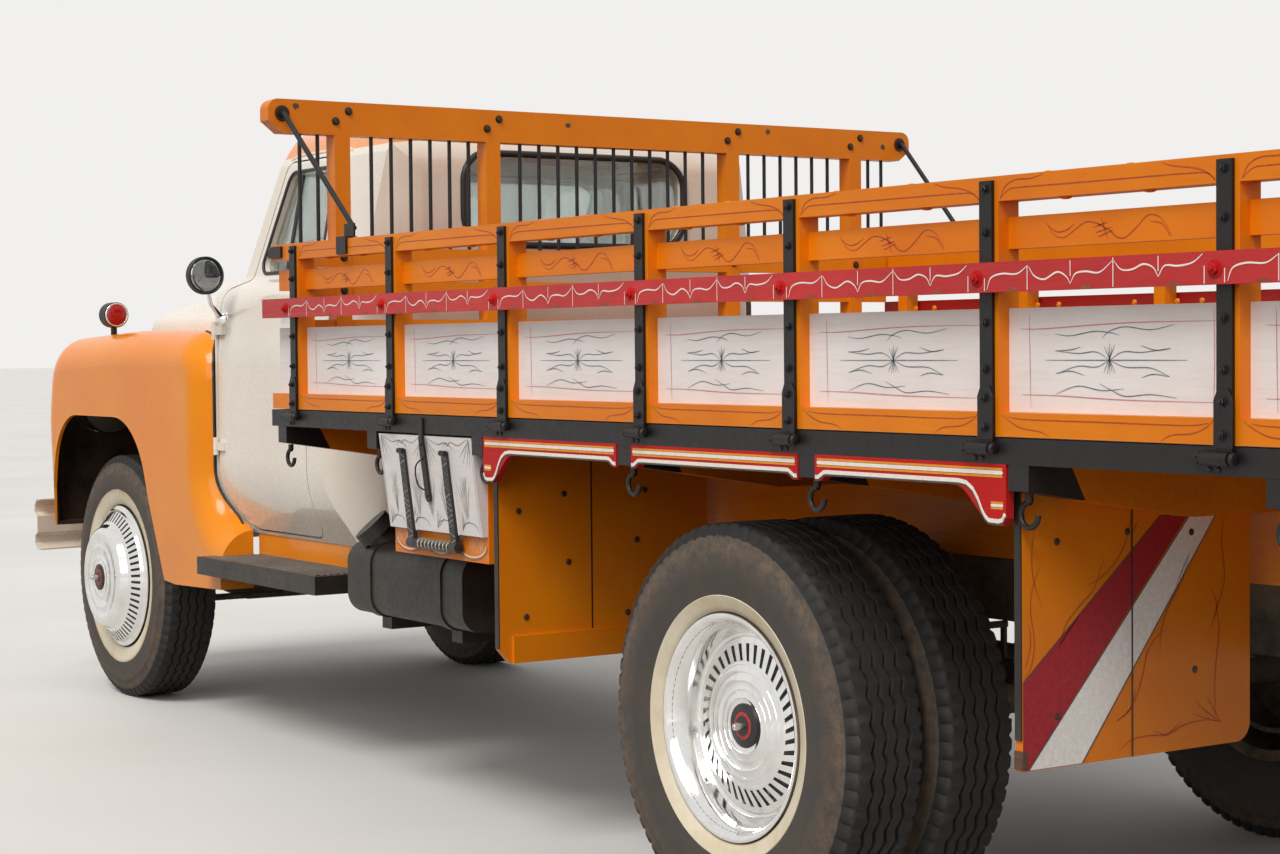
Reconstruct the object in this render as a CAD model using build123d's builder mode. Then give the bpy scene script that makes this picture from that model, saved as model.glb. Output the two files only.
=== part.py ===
from build123d import *
import math
import os

os.makedirs("parts", exist_ok=True)

# Decorated flatbed truck. Millimetres, +X forward, +Y left, +Z up, the ground at Z = 0.
# Stations are distances ahead of the rear axle. The origin is the middle of the length on the ground.

# Whole vehicle
wheelbase = 4430
front_overhang = 810
rear_overhang = 2273
axle_height = 472
rear_axle_x = (rear_overhang - wheelbase - front_overhang) / 2

# Gaps
door_gap = 6
seat_gap = 0.3
pin_gap = 0.06

# Wheels and tyres
tyre_radius = 472
tyre_width = 222
rim_radius = 244
rim_flange_radius = 264
rim_width = 176
rim_wall = 9
front_track_half = 750
rear_outer_y = 1025
dual_spacing = 262
spindle_radius = 24
axle_tube_radius = 48
drum_radius = 190

# Ladder frame
rail_bottom = 683
rail_height = 155
rail_outer_y = 412
rail_flange = 62
rail_wall = 8
rail_rear_station = -2140
rail_front_station = 5120
rail_top = rail_bottom + rail_height

# Front axle and steering
kingpin_y = 645
kingpin_radius = 14
boss_radius = 30
boss_height = 96
steer_arm_length = 170
tie_rod_radius = 13

# Leaf springs
leaf_thickness = 9
leaf_width = 54
leaf_radius = 2600

# Cab
cab_back = 2411
cab_bottom = 705
cab_floor = 850
cab_wall = 48
cab_front = 3760
cab_roof = 2152
cab_belt = 1588
cowl_top = 1600
cab_half_width = 866
cab_sill_half = 788
cab_turn_in = 875
windshield_station = 3694
windshield_radius = 1154
windshield_rake = 0.563
bow_half = 950
door_rear = 2725
door_front = 3440
door_bottom = 716
door_top = 2004
glass_thickness = 6

# Front sheet metal
panel_wall = 14
fender_outer_y = 932
fender_inner_y = 470
fender_top = 1418
fender_front = 5085
hood_top = 1612
hood_rear = 3752
hood_front = 5085
bumper_height = 212
bumper_top = 742

# Bed
bed_front = 2257
bed_rear = -2243
bed_half_width = 1205
rim_beam_height = 50
rim_beam_depth = 62
rim_beam_top = 1168
sill_height = 162
sill_width = 80
crossbeam_width = 56
crossbeam_tip_height = 50
deck_top = rim_beam_top

# Gates
gate_depth = 52
gate_slat = 26
gate_post_width = 46
gate_gap = 10
strap_width = 35
strap_thickness = 8
hinge_z = 1148
hinge_radius = 12
hinge_pin_radius = 6
hinge_pin_length = 44
hinge_lug_length = 30
gate_rail_thickness = 22

# Headboard
headboard_station = 2157
headboard_top = 2106
headboard_beam_height = 102
headboard_beam_half = 1250
headboard_post_width = 52
headboard_depth = 58
rod_radius = 6

rim_beam_bottom = rim_beam_top - rim_beam_height
sill_bottom = rail_top
sill_top = sill_bottom + sill_height
crossbeam_bottom = sill_top
gate_bottom = rim_beam_top + 3
hinge_y = bed_half_width + hinge_radius + 1


def at(station):
    """The X of a station ahead of the rear axle."""
    return rear_axle_x + station


def block(x_range, y_range, z_range, mode=Mode.ADD):
    """A box between two corners, in the builder that is open."""
    (x0, x1), (y0, y1), (z0, z1) = x_range, y_range, z_range
    with Locations(((x0 + x1) / 2, (y0 + y1) / 2, (z0 + z1) / 2)):
        Box(abs(x1 - x0), abs(y1 - y0), abs(z1 - z0), mode=mode)


def rod(start, end, radius, mode=Mode.ADD):
    """A round bar between two points, in the builder that is open."""
    first, last = Vector(*start), Vector(*end)
    length = (last - first).length
    with Locations(Plane(origin=first, z_dir=last - first)):
        Cylinder(radius, length, align=(Align.CENTER, Align.CENTER, Align.MIN), mode=mode)


def side_plane(y):
    """A plane seen from the right-hand side: its x is X and its y is Z, and it faces -Y."""
    return Plane(origin=(0, y, 0), x_dir=(1, 0, 0), z_dir=(0, -1, 0))


def outline(points, radii=None):
    """A closed face through the points, with a radius at each corner that has one."""
    with BuildSketch() as shape:
        with BuildLine():
            Polyline(*[(x, y) for x, y in points], close=True)
        make_face()
        for index, radius in (radii or {}).items():
            x, y = points[index]
            corner = shape.vertices().sort_by_distance((x, y, 0))[0]
            fillet(corner, radius)
    return shape.sketch


def save(part, name):
    """Label a finished piece and write it."""
    part.label = name
    export_step(part, f"parts/{name}.step")
    print(name, "volume", round(part.volume))


def mirrored(part):
    """The same piece on the right-hand side."""
    return mirror(part, about=Plane.XZ)


# Ladder frame: two channel rails, cross members and the spring hangers
front_axle_x = at(wheelbase)
spring_y = rail_outer_y - rail_flange / 2
cross_member_stations = (4890, 3080, 2300, 1250, 420, -740, -2060)
cross_member_width = 70
cross_member_height = 96
cross_member_wall = 7
hanger_width = 46
front_spring_half = 520
rear_spring_half = 600
front_leaves = ((1.0, 0), (0.86, 1), (0.68, 2), (0.5, 3), (0.3, 4))
rear_leaves = ((1.0, 0), (0.9, 1), (0.76, 2), (0.62, 3), (0.48, 4), (0.34, 5))
spring_eye_radius = 24
front_spring_seat = axle_height + 6
rear_spring_seat = axle_height + axle_tube_radius + 4


def leaf_rise(half_length):
    """How far the ends of a leaf stand above its middle."""
    return leaf_radius - math.sqrt(leaf_radius**2 - half_length**2)


def spring_places():
    """Each spring's axle station, half length, leaves and the height of its main leaf."""
    front_height = front_spring_seat + seat_gap + leaf_thickness * len(front_leaves)
    rear_height = rear_spring_seat + seat_gap + leaf_thickness * len(rear_leaves)
    return (
        (wheelbase, front_spring_half, front_leaves, front_height),
        (0, rear_spring_half, rear_leaves, rear_height),
    )


with BuildPart() as frame_rails:
    for side in (1, -1):
        web = side * rail_outer_y
        inner = side * (rail_outer_y - rail_wall)
        edge = side * (rail_outer_y - rail_flange)
        run = (at(rail_rear_station), at(rail_front_station))
        block(run, (web, inner), (rail_bottom, rail_top))
        block(run, (web, edge), (rail_bottom, rail_bottom + rail_wall))
        block(run, (web, edge), (rail_top - rail_wall, rail_top))
        for axle, half_length, leaves, height in spring_places():
            eye_z = height + leaf_rise(half_length) - leaf_thickness / 2
            for end in (1, -1):
                x = at(axle) + end * half_length
                outer = side * (spring_y + leaf_width / 2 + seat_gap)
                block(
                    (x - hanger_width / 2, x + hanger_width / 2),
                    (outer, outer + side * rail_wall),
                    (eye_z - spring_eye_radius, rail_bottom + rail_wall),
                )
                inside = side * (spring_y - leaf_width / 2 - seat_gap)
                block(
                    (x - hanger_width / 2, x + hanger_width / 2),
                    (inside, inside - side * rail_wall),
                    (eye_z - spring_eye_radius, rail_bottom + rail_wall),
                )
                block(
                    (x - hanger_width / 2, x + hanger_width / 2),
                    (inside - side * rail_wall, outer + side * rail_wall),
                    (rail_bottom - rail_wall, rail_bottom + rail_wall),
                )
    for station in cross_member_stations:
        low = rail_bottom + rail_wall + 4
        x_run = (at(station) - cross_member_width / 2, at(station) + cross_member_width / 2)
        y_run = (-rail_outer_y + rail_wall / 2, rail_outer_y - rail_wall / 2)
        block(x_run, y_run, (low, low + cross_member_height))
        hollow_x = (x_run[0] + cross_member_wall, x_run[1] + 1)
        hollow_z = (low + cross_member_wall, low + cross_member_height - cross_member_wall)
        inside = rail_outer_y - rail_wall - 4
        block(hollow_x, (-inside, inside), hollow_z, mode=Mode.SUBTRACT)
save(frame_rails.part, "frame_rails")

# Leaf springs, each a stack of leaves about one centre, with rolled eyes
with BuildPart() as leaf_springs:
    for axle, half_length, leaves, height in spring_places():
        for side in (1, -1):
            near = side * spring_y + leaf_width / 2
            for share, rank in leaves:
                radius = leaf_radius + rank * leaf_thickness
                half = math.degrees(math.asin(half_length * share / leaf_radius))
                centre = (at(axle), height + leaf_radius)
                with BuildSketch(side_plane(near)):
                    with BuildLine():
                        low = CenterArc(centre, radius + leaf_thickness, 270 - half, 2 * half)
                        high = CenterArc(centre, radius, 270 - half, 2 * half)
                        Line(low @ 0, high @ 0)
                        Line(low @ 1, high @ 1)
                    make_face()
                extrude(amount=leaf_width)
            for end in (1, -1):
                x = at(axle) + end * half_length
                z = height + leaf_rise(half_length) - leaf_thickness / 2
                low_y, high_y = side * spring_y - leaf_width / 2, side * spring_y + leaf_width / 2
                rod((x, low_y, z), (x, high_y, z), spring_eye_radius)
save(leaf_springs.part, "leaf_springs")

# Front axle: a forged beam that drops in the middle, with a king pin boss at each end
beam_width = 62
beam_depth = 70
beam_drop = 60
with BuildPart() as front_axle_beam:
    end_y = kingpin_y - boss_radius + 6
    knee_y = spring_y + 70
    top = front_spring_seat
    beam_points = [
        (-end_y, top), (end_y, top), (end_y, top - 50), (end_y - 66, top - 50),
        (knee_y, top - beam_depth - 8),
        (knee_y - 120, top - beam_depth - beam_drop), (-knee_y + 120, top - beam_depth - beam_drop),
        (-knee_y, top - beam_depth - 8), (66 - end_y, top - 50), (-end_y, top - 50),
    ]
    with BuildSketch(Plane.YZ.offset(front_axle_x - beam_width / 2)):
        add(outline(beam_points))
    extrude(amount=beam_width)
    dip_half = spring_y - leaf_width
    with BuildSketch(Plane.YZ.offset(front_axle_x - beam_width / 2)):
        add(outline([
            (-dip_half, top + 1), (dip_half, top + 1), (dip_half - 70, top - beam_drop),
            (-dip_half + 70, top - beam_drop),
        ]))
    extrude(amount=beam_width, mode=Mode.SUBTRACT)
    for side in (1, -1):
        low = axle_height - boss_height / 2
        pin_y = side * kingpin_y
        rod((front_axle_x, pin_y, low), (front_axle_x, pin_y, low + boss_height), boss_radius)
        rod(
            (front_axle_x, side * kingpin_y, low - 1),
            (front_axle_x, side * kingpin_y, low + boss_height + 1),
            kingpin_radius + pin_gap,
            mode=Mode.SUBTRACT,
        )
save(front_axle_beam.part, "front_axle_beam")

# Steering knuckles: a yoke over the boss with the king pin, the wheel spindle and the steering arm
yoke_thickness = 20
yoke_gap = 0.3
yoke_back = kingpin_y + boss_radius + 3
spindle_end = front_track_half + 92
arm_x = front_axle_x - steer_arm_length
arm_half = 16
ball_pin_radius = 9
arm_z = axle_height - boss_height / 2 - yoke_gap - yoke_thickness - 24
with BuildPart() as knuckle_left:
    for end in (1, -1):
        inner_z = axle_height + end * (boss_height / 2 + yoke_gap)
        outer_z = inner_z + end * yoke_thickness
        rod((front_axle_x, kingpin_y, inner_z), (front_axle_x, kingpin_y, outer_z), boss_radius)
        block(
            (front_axle_x - boss_radius, front_axle_x + boss_radius),
            (kingpin_y, yoke_back + 18),
            (inner_z, outer_z),
        )
    low_z = axle_height - boss_height / 2 - yoke_gap - yoke_thickness
    high_z = axle_height + boss_height / 2 + yoke_gap + yoke_thickness
    block(
        (front_axle_x - boss_radius, front_axle_x + boss_radius),
        (yoke_back, yoke_back + 18),
        (low_z, high_z),
    )
    rod((front_axle_x, kingpin_y, low_z), (front_axle_x, kingpin_y, high_z), kingpin_radius)
    rod((front_axle_x, yoke_back + 10, axle_height), (front_axle_x, spindle_end, axle_height), spindle_radius)
    arm_y = (kingpin_y - arm_half, kingpin_y + arm_half)
    block((arm_x - arm_half, front_axle_x), arm_y, (low_z, low_z + arm_half))
    rod((arm_x, kingpin_y, low_z + 8), (arm_x, kingpin_y, arm_z - tie_rod_radius - 6), ball_pin_radius)
save(knuckle_left.part, "knuckle_left")
save(mirrored(knuckle_left.part), "knuckle_right")

# Tie rod between the steering arms
eye_radius = 18
with BuildPart() as tie_rod:
    reach = kingpin_y - eye_radius + 3
    rod((arm_x, -reach, arm_z), (arm_x, reach, arm_z), tie_rod_radius)
    for side in (1, -1):
        low = Vector(arm_x, side * kingpin_y, arm_z - tie_rod_radius)
        high = Vector(arm_x, side * kingpin_y, arm_z + tie_rod_radius)
        rod(low, high, eye_radius)
        rod(low - Vector(0, 0, 1), high + Vector(0, 0, 1), ball_pin_radius + pin_gap, mode=Mode.SUBTRACT)
save(tie_rod.part, "tie_rod")

# Rear axle: banjo housing, tubes, spring seats and wheel spindles
banjo_radius = 165
banjo_width = 210
rear_spindle_end = rear_outer_y - dual_spacing / 2 + 50
with BuildPart() as rear_axle_housing:
    x, z = rear_axle_x, axle_height
    rod((x, -rear_spindle_end, z), (x, rear_spindle_end, z), axle_tube_radius)
    with BuildSketch(Plane(origin=(x, 0, z), x_dir=(0, 1, 0), z_dir=(1, 0, 0))):
        Circle(banjo_radius)
    extrude(amount=banjo_width / 2, both=True, taper=14)
    rod((x, 0, z + 10), (x + 252, 0, z + 24), 62)
    for side in (1, -1):
        block(
            (x - 60, x + 60),
            (side * spring_y - leaf_width / 2 - 8, side * spring_y + leaf_width / 2 + 8),
            (z, rear_spring_seat),
        )
save(rear_axle_housing.part, "rear_axle_housing")

# Engine with its gearbox as plain masses, on mounts over the rails
engine_half = 230
engine_run = (3830, 4700)
gearbox_run = (3180, 3830)
gearbox_half = 150
mount_height = 26
with BuildPart() as engine_block:
    block((at(engine_run[0]), at(engine_run[1])), (-engine_half, engine_half), (600, 1160))
    block((at(gearbox_run[0]), at(gearbox_run[1])), (-gearbox_half, gearbox_half), (606, 790))
    for station in (3960, 4560):
        block(
            (at(station) - 40, at(station) + 40),
            (-rail_outer_y + 8, rail_outer_y - 8),
            (rail_top, rail_top + mount_height),
        )
save(engine_block.part, "engine_block")

# Propeller shaft, below the cross members
shaft_radius = 36
with BuildPart() as drive_shaft:
    rod((at(256), 0, axle_height + 24), (at(gearbox_run[0] - 3), 0, 662), shaft_radius)
    rod((at(256), 0, axle_height + 24), (at(330), 0, axle_height + 28), 56)
    rod((at(gearbox_run[0] - 80), 0, 658), (at(gearbox_run[0] - 3), 0, 662), 30)
save(drive_shaft.part, "drive_shaft")

# Radiator behind the grille, standing on the first cross member
radiator_half = 300
with BuildPart() as radiator:
    stand = rail_bottom + rail_wall + 4 + cross_member_height
    block((at(4858), at(4922)), (-radiator_half, radiator_half), (stand, 1290))
    block((at(4846), at(4934)), (-radiator_half + 20, radiator_half - 20), (1290, 1350))
save(radiator.part, "radiator")


# Tyres and wheels. Each is made about its own axle, which lies on Y, with +Y outboard.
def tyre_ring():
    """A tyre: beads at the rim, bulging side walls, shoulders and a flat tread."""
    half = tyre_width / 2
    tread_half = half - 26
    shoulder = tyre_radius - 22
    bead = rim_flange_radius + 2
    with BuildPart() as ring:
        with BuildSketch(Plane.XY):
            with BuildLine():
                inner = Line((rim_radius, -rim_width / 2), (rim_radius, rim_width / 2))
                Line(inner @ 1, (rim_flange_radius + 2, rim_width / 2))
                ThreePointArc((bead, rim_width / 2), (bead + 68, half), (shoulder, half - 9))
                Line((shoulder, half - 9), (tyre_radius, tread_half))
                Line((tyre_radius, tread_half), (tyre_radius, -tread_half))
                Line((tyre_radius, -tread_half), (shoulder, 9 - half))
                ThreePointArc((shoulder, 9 - half), (bead + 68, -half), (bead, -rim_width / 2))
                Line((rim_flange_radius + 2, -rim_width / 2), inner @ 0)
            make_face()
        revolve(axis=Axis.Y)
    return ring.part


def wheel_rings(sections):
    """Rings about the axle from a table of inner radius, outer radius, inboard y and outboard y."""
    for inner, outer, low, high in sections:
        with BuildSketch(Plane.XY) as section:
            with BuildLine():
                Polyline((inner, low), (outer, low), (outer, high), (inner, high), close=True)
            make_face()
        revolve(section.sketch, axis=Axis.Y)


def dish(points):
    """A turned shell from a list of radius and y."""
    with BuildSketch(Plane.XY) as section:
        with BuildLine():
            Polyline(*points, close=True)
        make_face()
    revolve(section.sketch, axis=Axis.Y)


half_rim = rim_width / 2
front_face = half_rim + 14
rim_rings = (
    (rim_radius - rim_wall, rim_radius, -half_rim, half_rim),
    (rim_radius - rim_wall, rim_flange_radius, half_rim, half_rim + 8),
    (rim_radius - rim_wall, rim_flange_radius, -half_rim - 8, -half_rim),
)
# inner radius, outer radius, inboard y, outboard y
front_hub_rings = (
    (spindle_radius + pin_gap, 62, -34, front_face),
    (60, drum_radius, -20, -6),
    (drum_radius - 12, drum_radius, -70, -6),
)
cap_radius = rim_radius - rim_wall - 3
with BuildPart() as front_wheel:
    wheel_rings(rim_rings)
    wheel_rings(front_hub_rings)
    dish([
        (60, front_face - 30), (150, front_face - 18), (rim_radius - 4, half_rim - 30),
        (rim_radius - 4, half_rim - 18), (150, front_face - 6), (60, front_face - 18),
    ])
    # The domed cap: a trim ring over the flange, a sloping slotted band, a drum with a flat face, and the nub
    dish([
        (0, front_face), (60, front_face - 4), (cap_radius, half_rim - 8), (cap_radius + 1, half_rim + 8),
        (272, half_rim + 10), (274, half_rim + 15), (256, half_rim + 22), (252, half_rim + 34),
        (212, half_rim + 60), (202, half_rim + 64), (190, half_rim + 90), (176, half_rim + 99),
        (120, half_rim + 100), (114, half_rim + 97), (52, half_rim + 98), (50, half_rim + 104),
        (10, half_rim + 105), (9, half_rim + 138), (0, half_rim + 140),
    ])

rear_seat = -half_rim - 8
mate = -dual_spacing / 2
with BuildPart() as rear_wheel:
    wheel_rings(rim_rings)
    wheel_rings([(a, b, low - dual_spacing, high - dual_spacing) for a, b, low, high in rim_rings])
    wheel_rings([(axle_tube_radius + pin_gap, 96, mate - 90, mate + 60)])
    for flip in (1, -1):
        dish([
            (90, mate), (170, mate), (rim_radius - 4, mate + flip * 64), (rim_radius - 4, mate + flip * 78),
            (166, mate + flip * 13), (90, mate + flip * 13),
        ])
    wheel_rings([
        (drum_radius - 14, drum_radius, mate - 200, mate - 92),
        (90, drum_radius, mate - 92, mate - 80),
    ])
    # The deep cap: a bowl against the rim, the slotted disc with its steps, and the nub
    dish([
        (0, -24), (140, -24), (198, -14), (cap_radius, half_rim - 34), (cap_radius + 1, half_rim - 4),
        (cap_radius - 6, half_rim - 8), (217, 42), (210, 24), (190, 28), (148, 42), (140, 39), (104, 46),
        (98, 43), (54, 46), (52, 53), (10, 54), (9, 80), (0, 82),
    ])

tyre = tyre_ring()
for name, side in (("left", 1), ("right", -1)):
    turn = Location((0, 0, 0), (0, 0, 0 if side > 0 else 180))
    front_place = Location((front_axle_x, side * front_track_half, axle_height)) * turn
    rear_place = Location((rear_axle_x, side * rear_outer_y, axle_height)) * turn
    save(tyre.moved(front_place), f"tyre_front_{name}")
    save(front_wheel.part.moved(front_place), f"wheel_front_{name}")
    pair = Compound(children=[
        tyre.moved(rear_place),
        tyre.moved(Location((rear_axle_x, side * (rear_outer_y - dual_spacing), axle_height)) * turn),
    ])
    save(pair, f"tyres_rear_{name}")
    save(rear_wheel.part.moved(rear_place), f"wheels_rear_{name}")


# Cab: the side, front and plan outlines crossed. An inset gives the inner walls.
def cab_form(inset, foot=0):
    """The cab's solid form, every wall moved in by the inset, its bottom moved down by the foot."""
    bottom = cab_bottom - foot
    sill = cab_sill_half - foot * (cab_half_width - cab_sill_half) / (cab_turn_in - cab_bottom)
    side_points = [
        (at(cab_back), bottom), (at(cab_back), cab_roof - 40), (at(2820), cab_roof),
        (at(3440), cab_roof - 34),
        (at(cab_front), cowl_top), (at(cab_front), bottom),
    ]
    left_points = [
        (cab_roof, 0), (cab_roof - 34, 630), (1990, 704), (cowl_top, 776), (1550, 846),
        (1340, cab_half_width), (cab_turn_in, cab_half_width), (bottom, sill),
    ]
    front_points = [(-y, z) for z, y in reversed(left_points)] + [(y, z) for z, y in left_points[1:]]
    plan_points = [
        (at(cab_back), -880), (at(cab_back), 880), (at(3480), 880), (at(cab_front), 540),
        (at(cab_front), -540), (at(3480), -880),
    ]
    rake = math.hypot(1, windshield_rake)
    bow_centre = at(windshield_station) - windshield_radius
    bow_end = bow_centre + math.sqrt(windshield_radius**2 - bow_half**2)
    # Above the cowl the bowed windshield leans back
    with BuildPart() as limits:
        with BuildSketch(Plane.XY.offset(cowl_top - inset)) as glasshouse:
            with BuildLine():
                bow = ThreePointArc((bow_end, -bow_half), (at(windshield_station), 0), (bow_end, bow_half))
                Polyline(bow @ 1, (at(cab_back) - 500, bow_half), (at(cab_back) - 500, -bow_half), bow @ 0)
            make_face()
            offset(amount=-inset)
        extrude(glasshouse.sketch, amount=800 * rake, dir=(-windshield_rake, 0, 1))
        block((at(cab_back) - 500, at(cab_front) + 200), (-1000, 1000), (bottom - 200, cowl_top - inset))
    with BuildPart() as form:
        with BuildSketch(side_plane(1000)):
            add(outline(side_points, {1: 210, 3: 170}))
            offset(amount=-inset)
        extrude(amount=2000)
        with BuildSketch(Plane.YZ.offset(at(cab_back) - 100)):
            add(outline(
                front_points,
                {1: 400, 2: 600, 3: 120, 4: 40, 6: 150, 8: 150, 10: 40, 11: 120, 12: 600, 13: 400},
            ))
            offset(amount=-inset)
        extrude(amount=2000, mode=Mode.INTERSECT)
        with BuildSketch(Plane.XY.offset(bottom - 100)):
            add(outline(plan_points, {0: 300, 1: 300, 2: 200, 3: 160, 4: 160, 5: 200}))
            offset(amount=-inset)
        extrude(amount=2000, mode=Mode.INTERSECT)
        add(limits.part, mode=Mode.INTERSECT)
    return form.part


def door_outline(inset):
    """The door's shape in side view, moved in by the inset."""
    with BuildSketch() as shape:
        add(outline(
            [
                (at(door_rear), door_bottom), (at(door_rear), door_top), (at(3172), door_top),
                (at(3322), cowl_top), (at(door_front), 1566), (at(door_front), door_bottom),
            ],
            {0: 60, 1: 90, 2: 60, 3: 30, 4: 30, 5: 210},
        ))
        offset(amount=-inset)
    return shape.sketch


def door_glass_outline(inset):
    """The door window's shape in side view, moved in by the inset."""
    with BuildSketch() as shape:
        add(outline(
            [(at(2800), 1622), (at(2800), 1958), (at(3132), 1958), (at(3262), 1622)],
            {0: 40, 1: 60, 2: 50, 3: 30},
        ))
        offset(amount=-inset)
    return shape.sketch


def window_outline(half_width, low, high, radius, inset):
    """A front or rear window's shape in front view."""
    with BuildSketch() as shape:
        with Locations((0, (low + high) / 2)):
            RectangleRounded(2 * (half_width - inset), high - low - 2 * inset, radius - inset)
    return shape.sketch


rear_window = (432, 1698, 1988, 90)
windshield = (640, 1668, 1972, 70)
door_low_y = 748
door_high_y = 540
cab_outer = cab_form(0)
cab_inner = cab_form(cab_wall, foot=200)


def door_zone(inset):
    """The space that the left door takes out of the cab: deeper in above the belt than below it."""
    with BuildPart() as zone:
        with BuildSketch(side_plane(1000)):
            add(door_outline(inset))
        extrude(amount=1000 - door_high_y)
        block((at(2600), at(3600)), (door_high_y - 1, door_low_y), (600, cab_belt - 60), mode=Mode.SUBTRACT)
    return zone.part


# Outside hinges: two barrels on the body, held on a pin that runs through the middle barrel
hinge_barrel_radius = 10
hinge_core_radius = 5
hinge_middle = 30
hinge_end = 16
hinge_running_gap = 0.5
door_hinge_y = cab_half_width + hinge_barrel_radius + 2
door_hinge_heights = (1010, 1420)
hood_hinge_station = 3763
hood_hinge_z = 1616
hood_hinge_places = (-130, 130)


def hinge_fixed_half(centre, z, side):
    """The body's half of a door hinge: the barrels above and below, their lugs and the pin."""
    x, y = centre
    half = hinge_middle / 2 + hinge_end
    for end in (1, -1):
        inner, outer = z + end * (hinge_middle / 2 + hinge_running_gap), z + end * half
        rod((x, y, inner), (x, y, outer), hinge_barrel_radius)
        block((x, x + 12), (side * (cab_half_width - 30), y), (inner, outer))
    rod((x, y, z - half), (x, y, z + half), hinge_core_radius)


def hinge_swinging_half(centre, z):
    """The door's half of a hinge: the middle barrel with its leaf, bored for the pin."""
    x, y = centre
    low, high = z - hinge_middle / 2, z + hinge_middle / 2
    rod((x, y, low), (x, y, high), hinge_barrel_radius)
    block((x - 60, x), (cab_half_width - 30, y - hinge_core_radius + 3), (low, high))
    rod((x, y, low - 1), (x, y, high + 1), hinge_core_radius + pin_gap, mode=Mode.SUBTRACT)


with BuildPart() as door_left:
    add(cab_outer)
    add(cab_inner, mode=Mode.SUBTRACT)
    add(door_zone(door_gap), mode=Mode.INTERSECT)
    with BuildSketch(side_plane(1000)):
        add(door_glass_outline(0))
    extrude(amount=500, mode=Mode.SUBTRACT)
    for z in door_hinge_heights:
        hinge_swinging_half((at(door_front) - 3, door_hinge_y), z)
save(door_left.part, "door_left")
save(mirrored(door_left.part), "door_right")

glass_inset = 20
glass_outer = cab_form(glass_inset)
glass_inner = cab_form(glass_inset + glass_thickness, foot=10)
with BuildPart() as door_glass_left:
    add(glass_outer)
    add(glass_inner, mode=Mode.SUBTRACT)
    with BuildSketch(side_plane(1000)):
        add(door_glass_outline(seat_gap))
    extrude(amount=500, mode=Mode.INTERSECT)
save(door_glass_left.part, "door_glass_left")
save(mirrored(door_glass_left.part), "door_glass_right")

cab_mount_stations = (2480, 3000, 3600)
floor_thickness = 50
dash_run = (3440, 3590)
dash_height = (1370, 1560)
underside_half = 700
with BuildPart() as cab_floor_plate:
    add(cab_form(cab_wall - 2))
    floor_z = (cab_floor, cab_floor + floor_thickness)
    block((at(cab_back), at(cab_front)), (-cab_half_width, cab_half_width), floor_z, mode=Mode.INTERSECT)
    for side in (1, -1):
        beyond = (side * (door_low_y - 5), side * cab_half_width)
        block((at(door_rear), at(door_front)), beyond, floor_z, mode=Mode.SUBTRACT)

with BuildPart() as dash:
    add(cab_form(cab_wall - 2))
    dash_x = (at(dash_run[0]), at(dash_run[1]))
    block(dash_x, (-underside_half, underside_half), dash_height, mode=Mode.INTERSECT)

with BuildPart() as cab_shell:
    add(cab_outer)
    add(cab_inner, mode=Mode.SUBTRACT)
    add(door_zone(0), mode=Mode.SUBTRACT)
    add(mirrored(door_zone(0)), mode=Mode.SUBTRACT)
    with BuildSketch(Plane.YZ.offset(at(cab_back) - 100)):
        add(window_outline(*rear_window, 0))
    extrude(amount=300, mode=Mode.SUBTRACT)
    with BuildSketch(Plane.YZ.offset(at(3050))):
        add(window_outline(*windshield, 0))
    extrude(amount=900, mode=Mode.SUBTRACT)
    add(cab_floor_plate.part)
    add(dash.part)
    block(
        (at(cab_back) - 10, at(cab_front) + 10), (-underside_half, underside_half), (600, cab_floor),
        mode=Mode.SUBTRACT,
    )
    for station in cab_mount_stations:
        for side in (1, -1):
            block(
                (at(station) - 45, at(station) + 45),
                (side * (rail_outer_y - rail_flange), side * rail_outer_y),
                (rail_top + seat_gap, cab_floor + 1),
            )
    for side in (1, -1):
        for z in door_hinge_heights:
            hinge_fixed_half((at(door_front) - 3, side * door_hinge_y), z, side)
    for y in hood_hinge_places:
        start = (at(hood_hinge_station), y - 40, hood_hinge_z)
        end = (at(hood_hinge_station), y + 40, hood_hinge_z)
        rod(start, end, hinge_barrel_radius)
        block(
            (at(hood_hinge_station) - 34, at(hood_hinge_station)), (y - 40, y + 40),
            (cab_belt - 30, hood_hinge_z - 1),
        )
        block(
            (at(hood_hinge_station) - 36, at(hood_hinge_station) + 12), (y - 21, y + 21),
            (cab_belt - 31, hood_hinge_z + 12), mode=Mode.SUBTRACT,
        )
        rod(start, end, hinge_core_radius)
save(cab_shell.part, "cab_shell")

with BuildPart() as cab_glass:
    with BuildSketch(Plane.YZ.offset(at(cab_back) - 100)):
        add(window_outline(*rear_window, seat_gap))
    extrude(amount=300)
    with BuildSketch(Plane.YZ.offset(at(3050))):
        add(window_outline(*windshield, seat_gap))
    extrude(amount=900)
    add(glass_outer, mode=Mode.INTERSECT)
    add(glass_inner, mode=Mode.SUBTRACT)
save(cab_glass.part, "cab_glass")

# Bench seat on its box
with BuildPart() as seat:
    floor_top = cab_floor + floor_thickness
    block((at(2475), at(2880)), (-560, 560), (floor_top, floor_top + 170))
    with BuildSketch(side_plane(600)):
        add(outline(
            [
                (at(2462), floor_top + 168), (at(2960), floor_top + 168), (at(2960), floor_top + 320),
                (at(2620), floor_top + 300), (at(2560), 1690), (at(2462), 1690),
            ],
            {1: 40, 2: 50, 4: 40, 5: 30},
        ))
    extrude(amount=1200)
save(seat.part, "seat")

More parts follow.
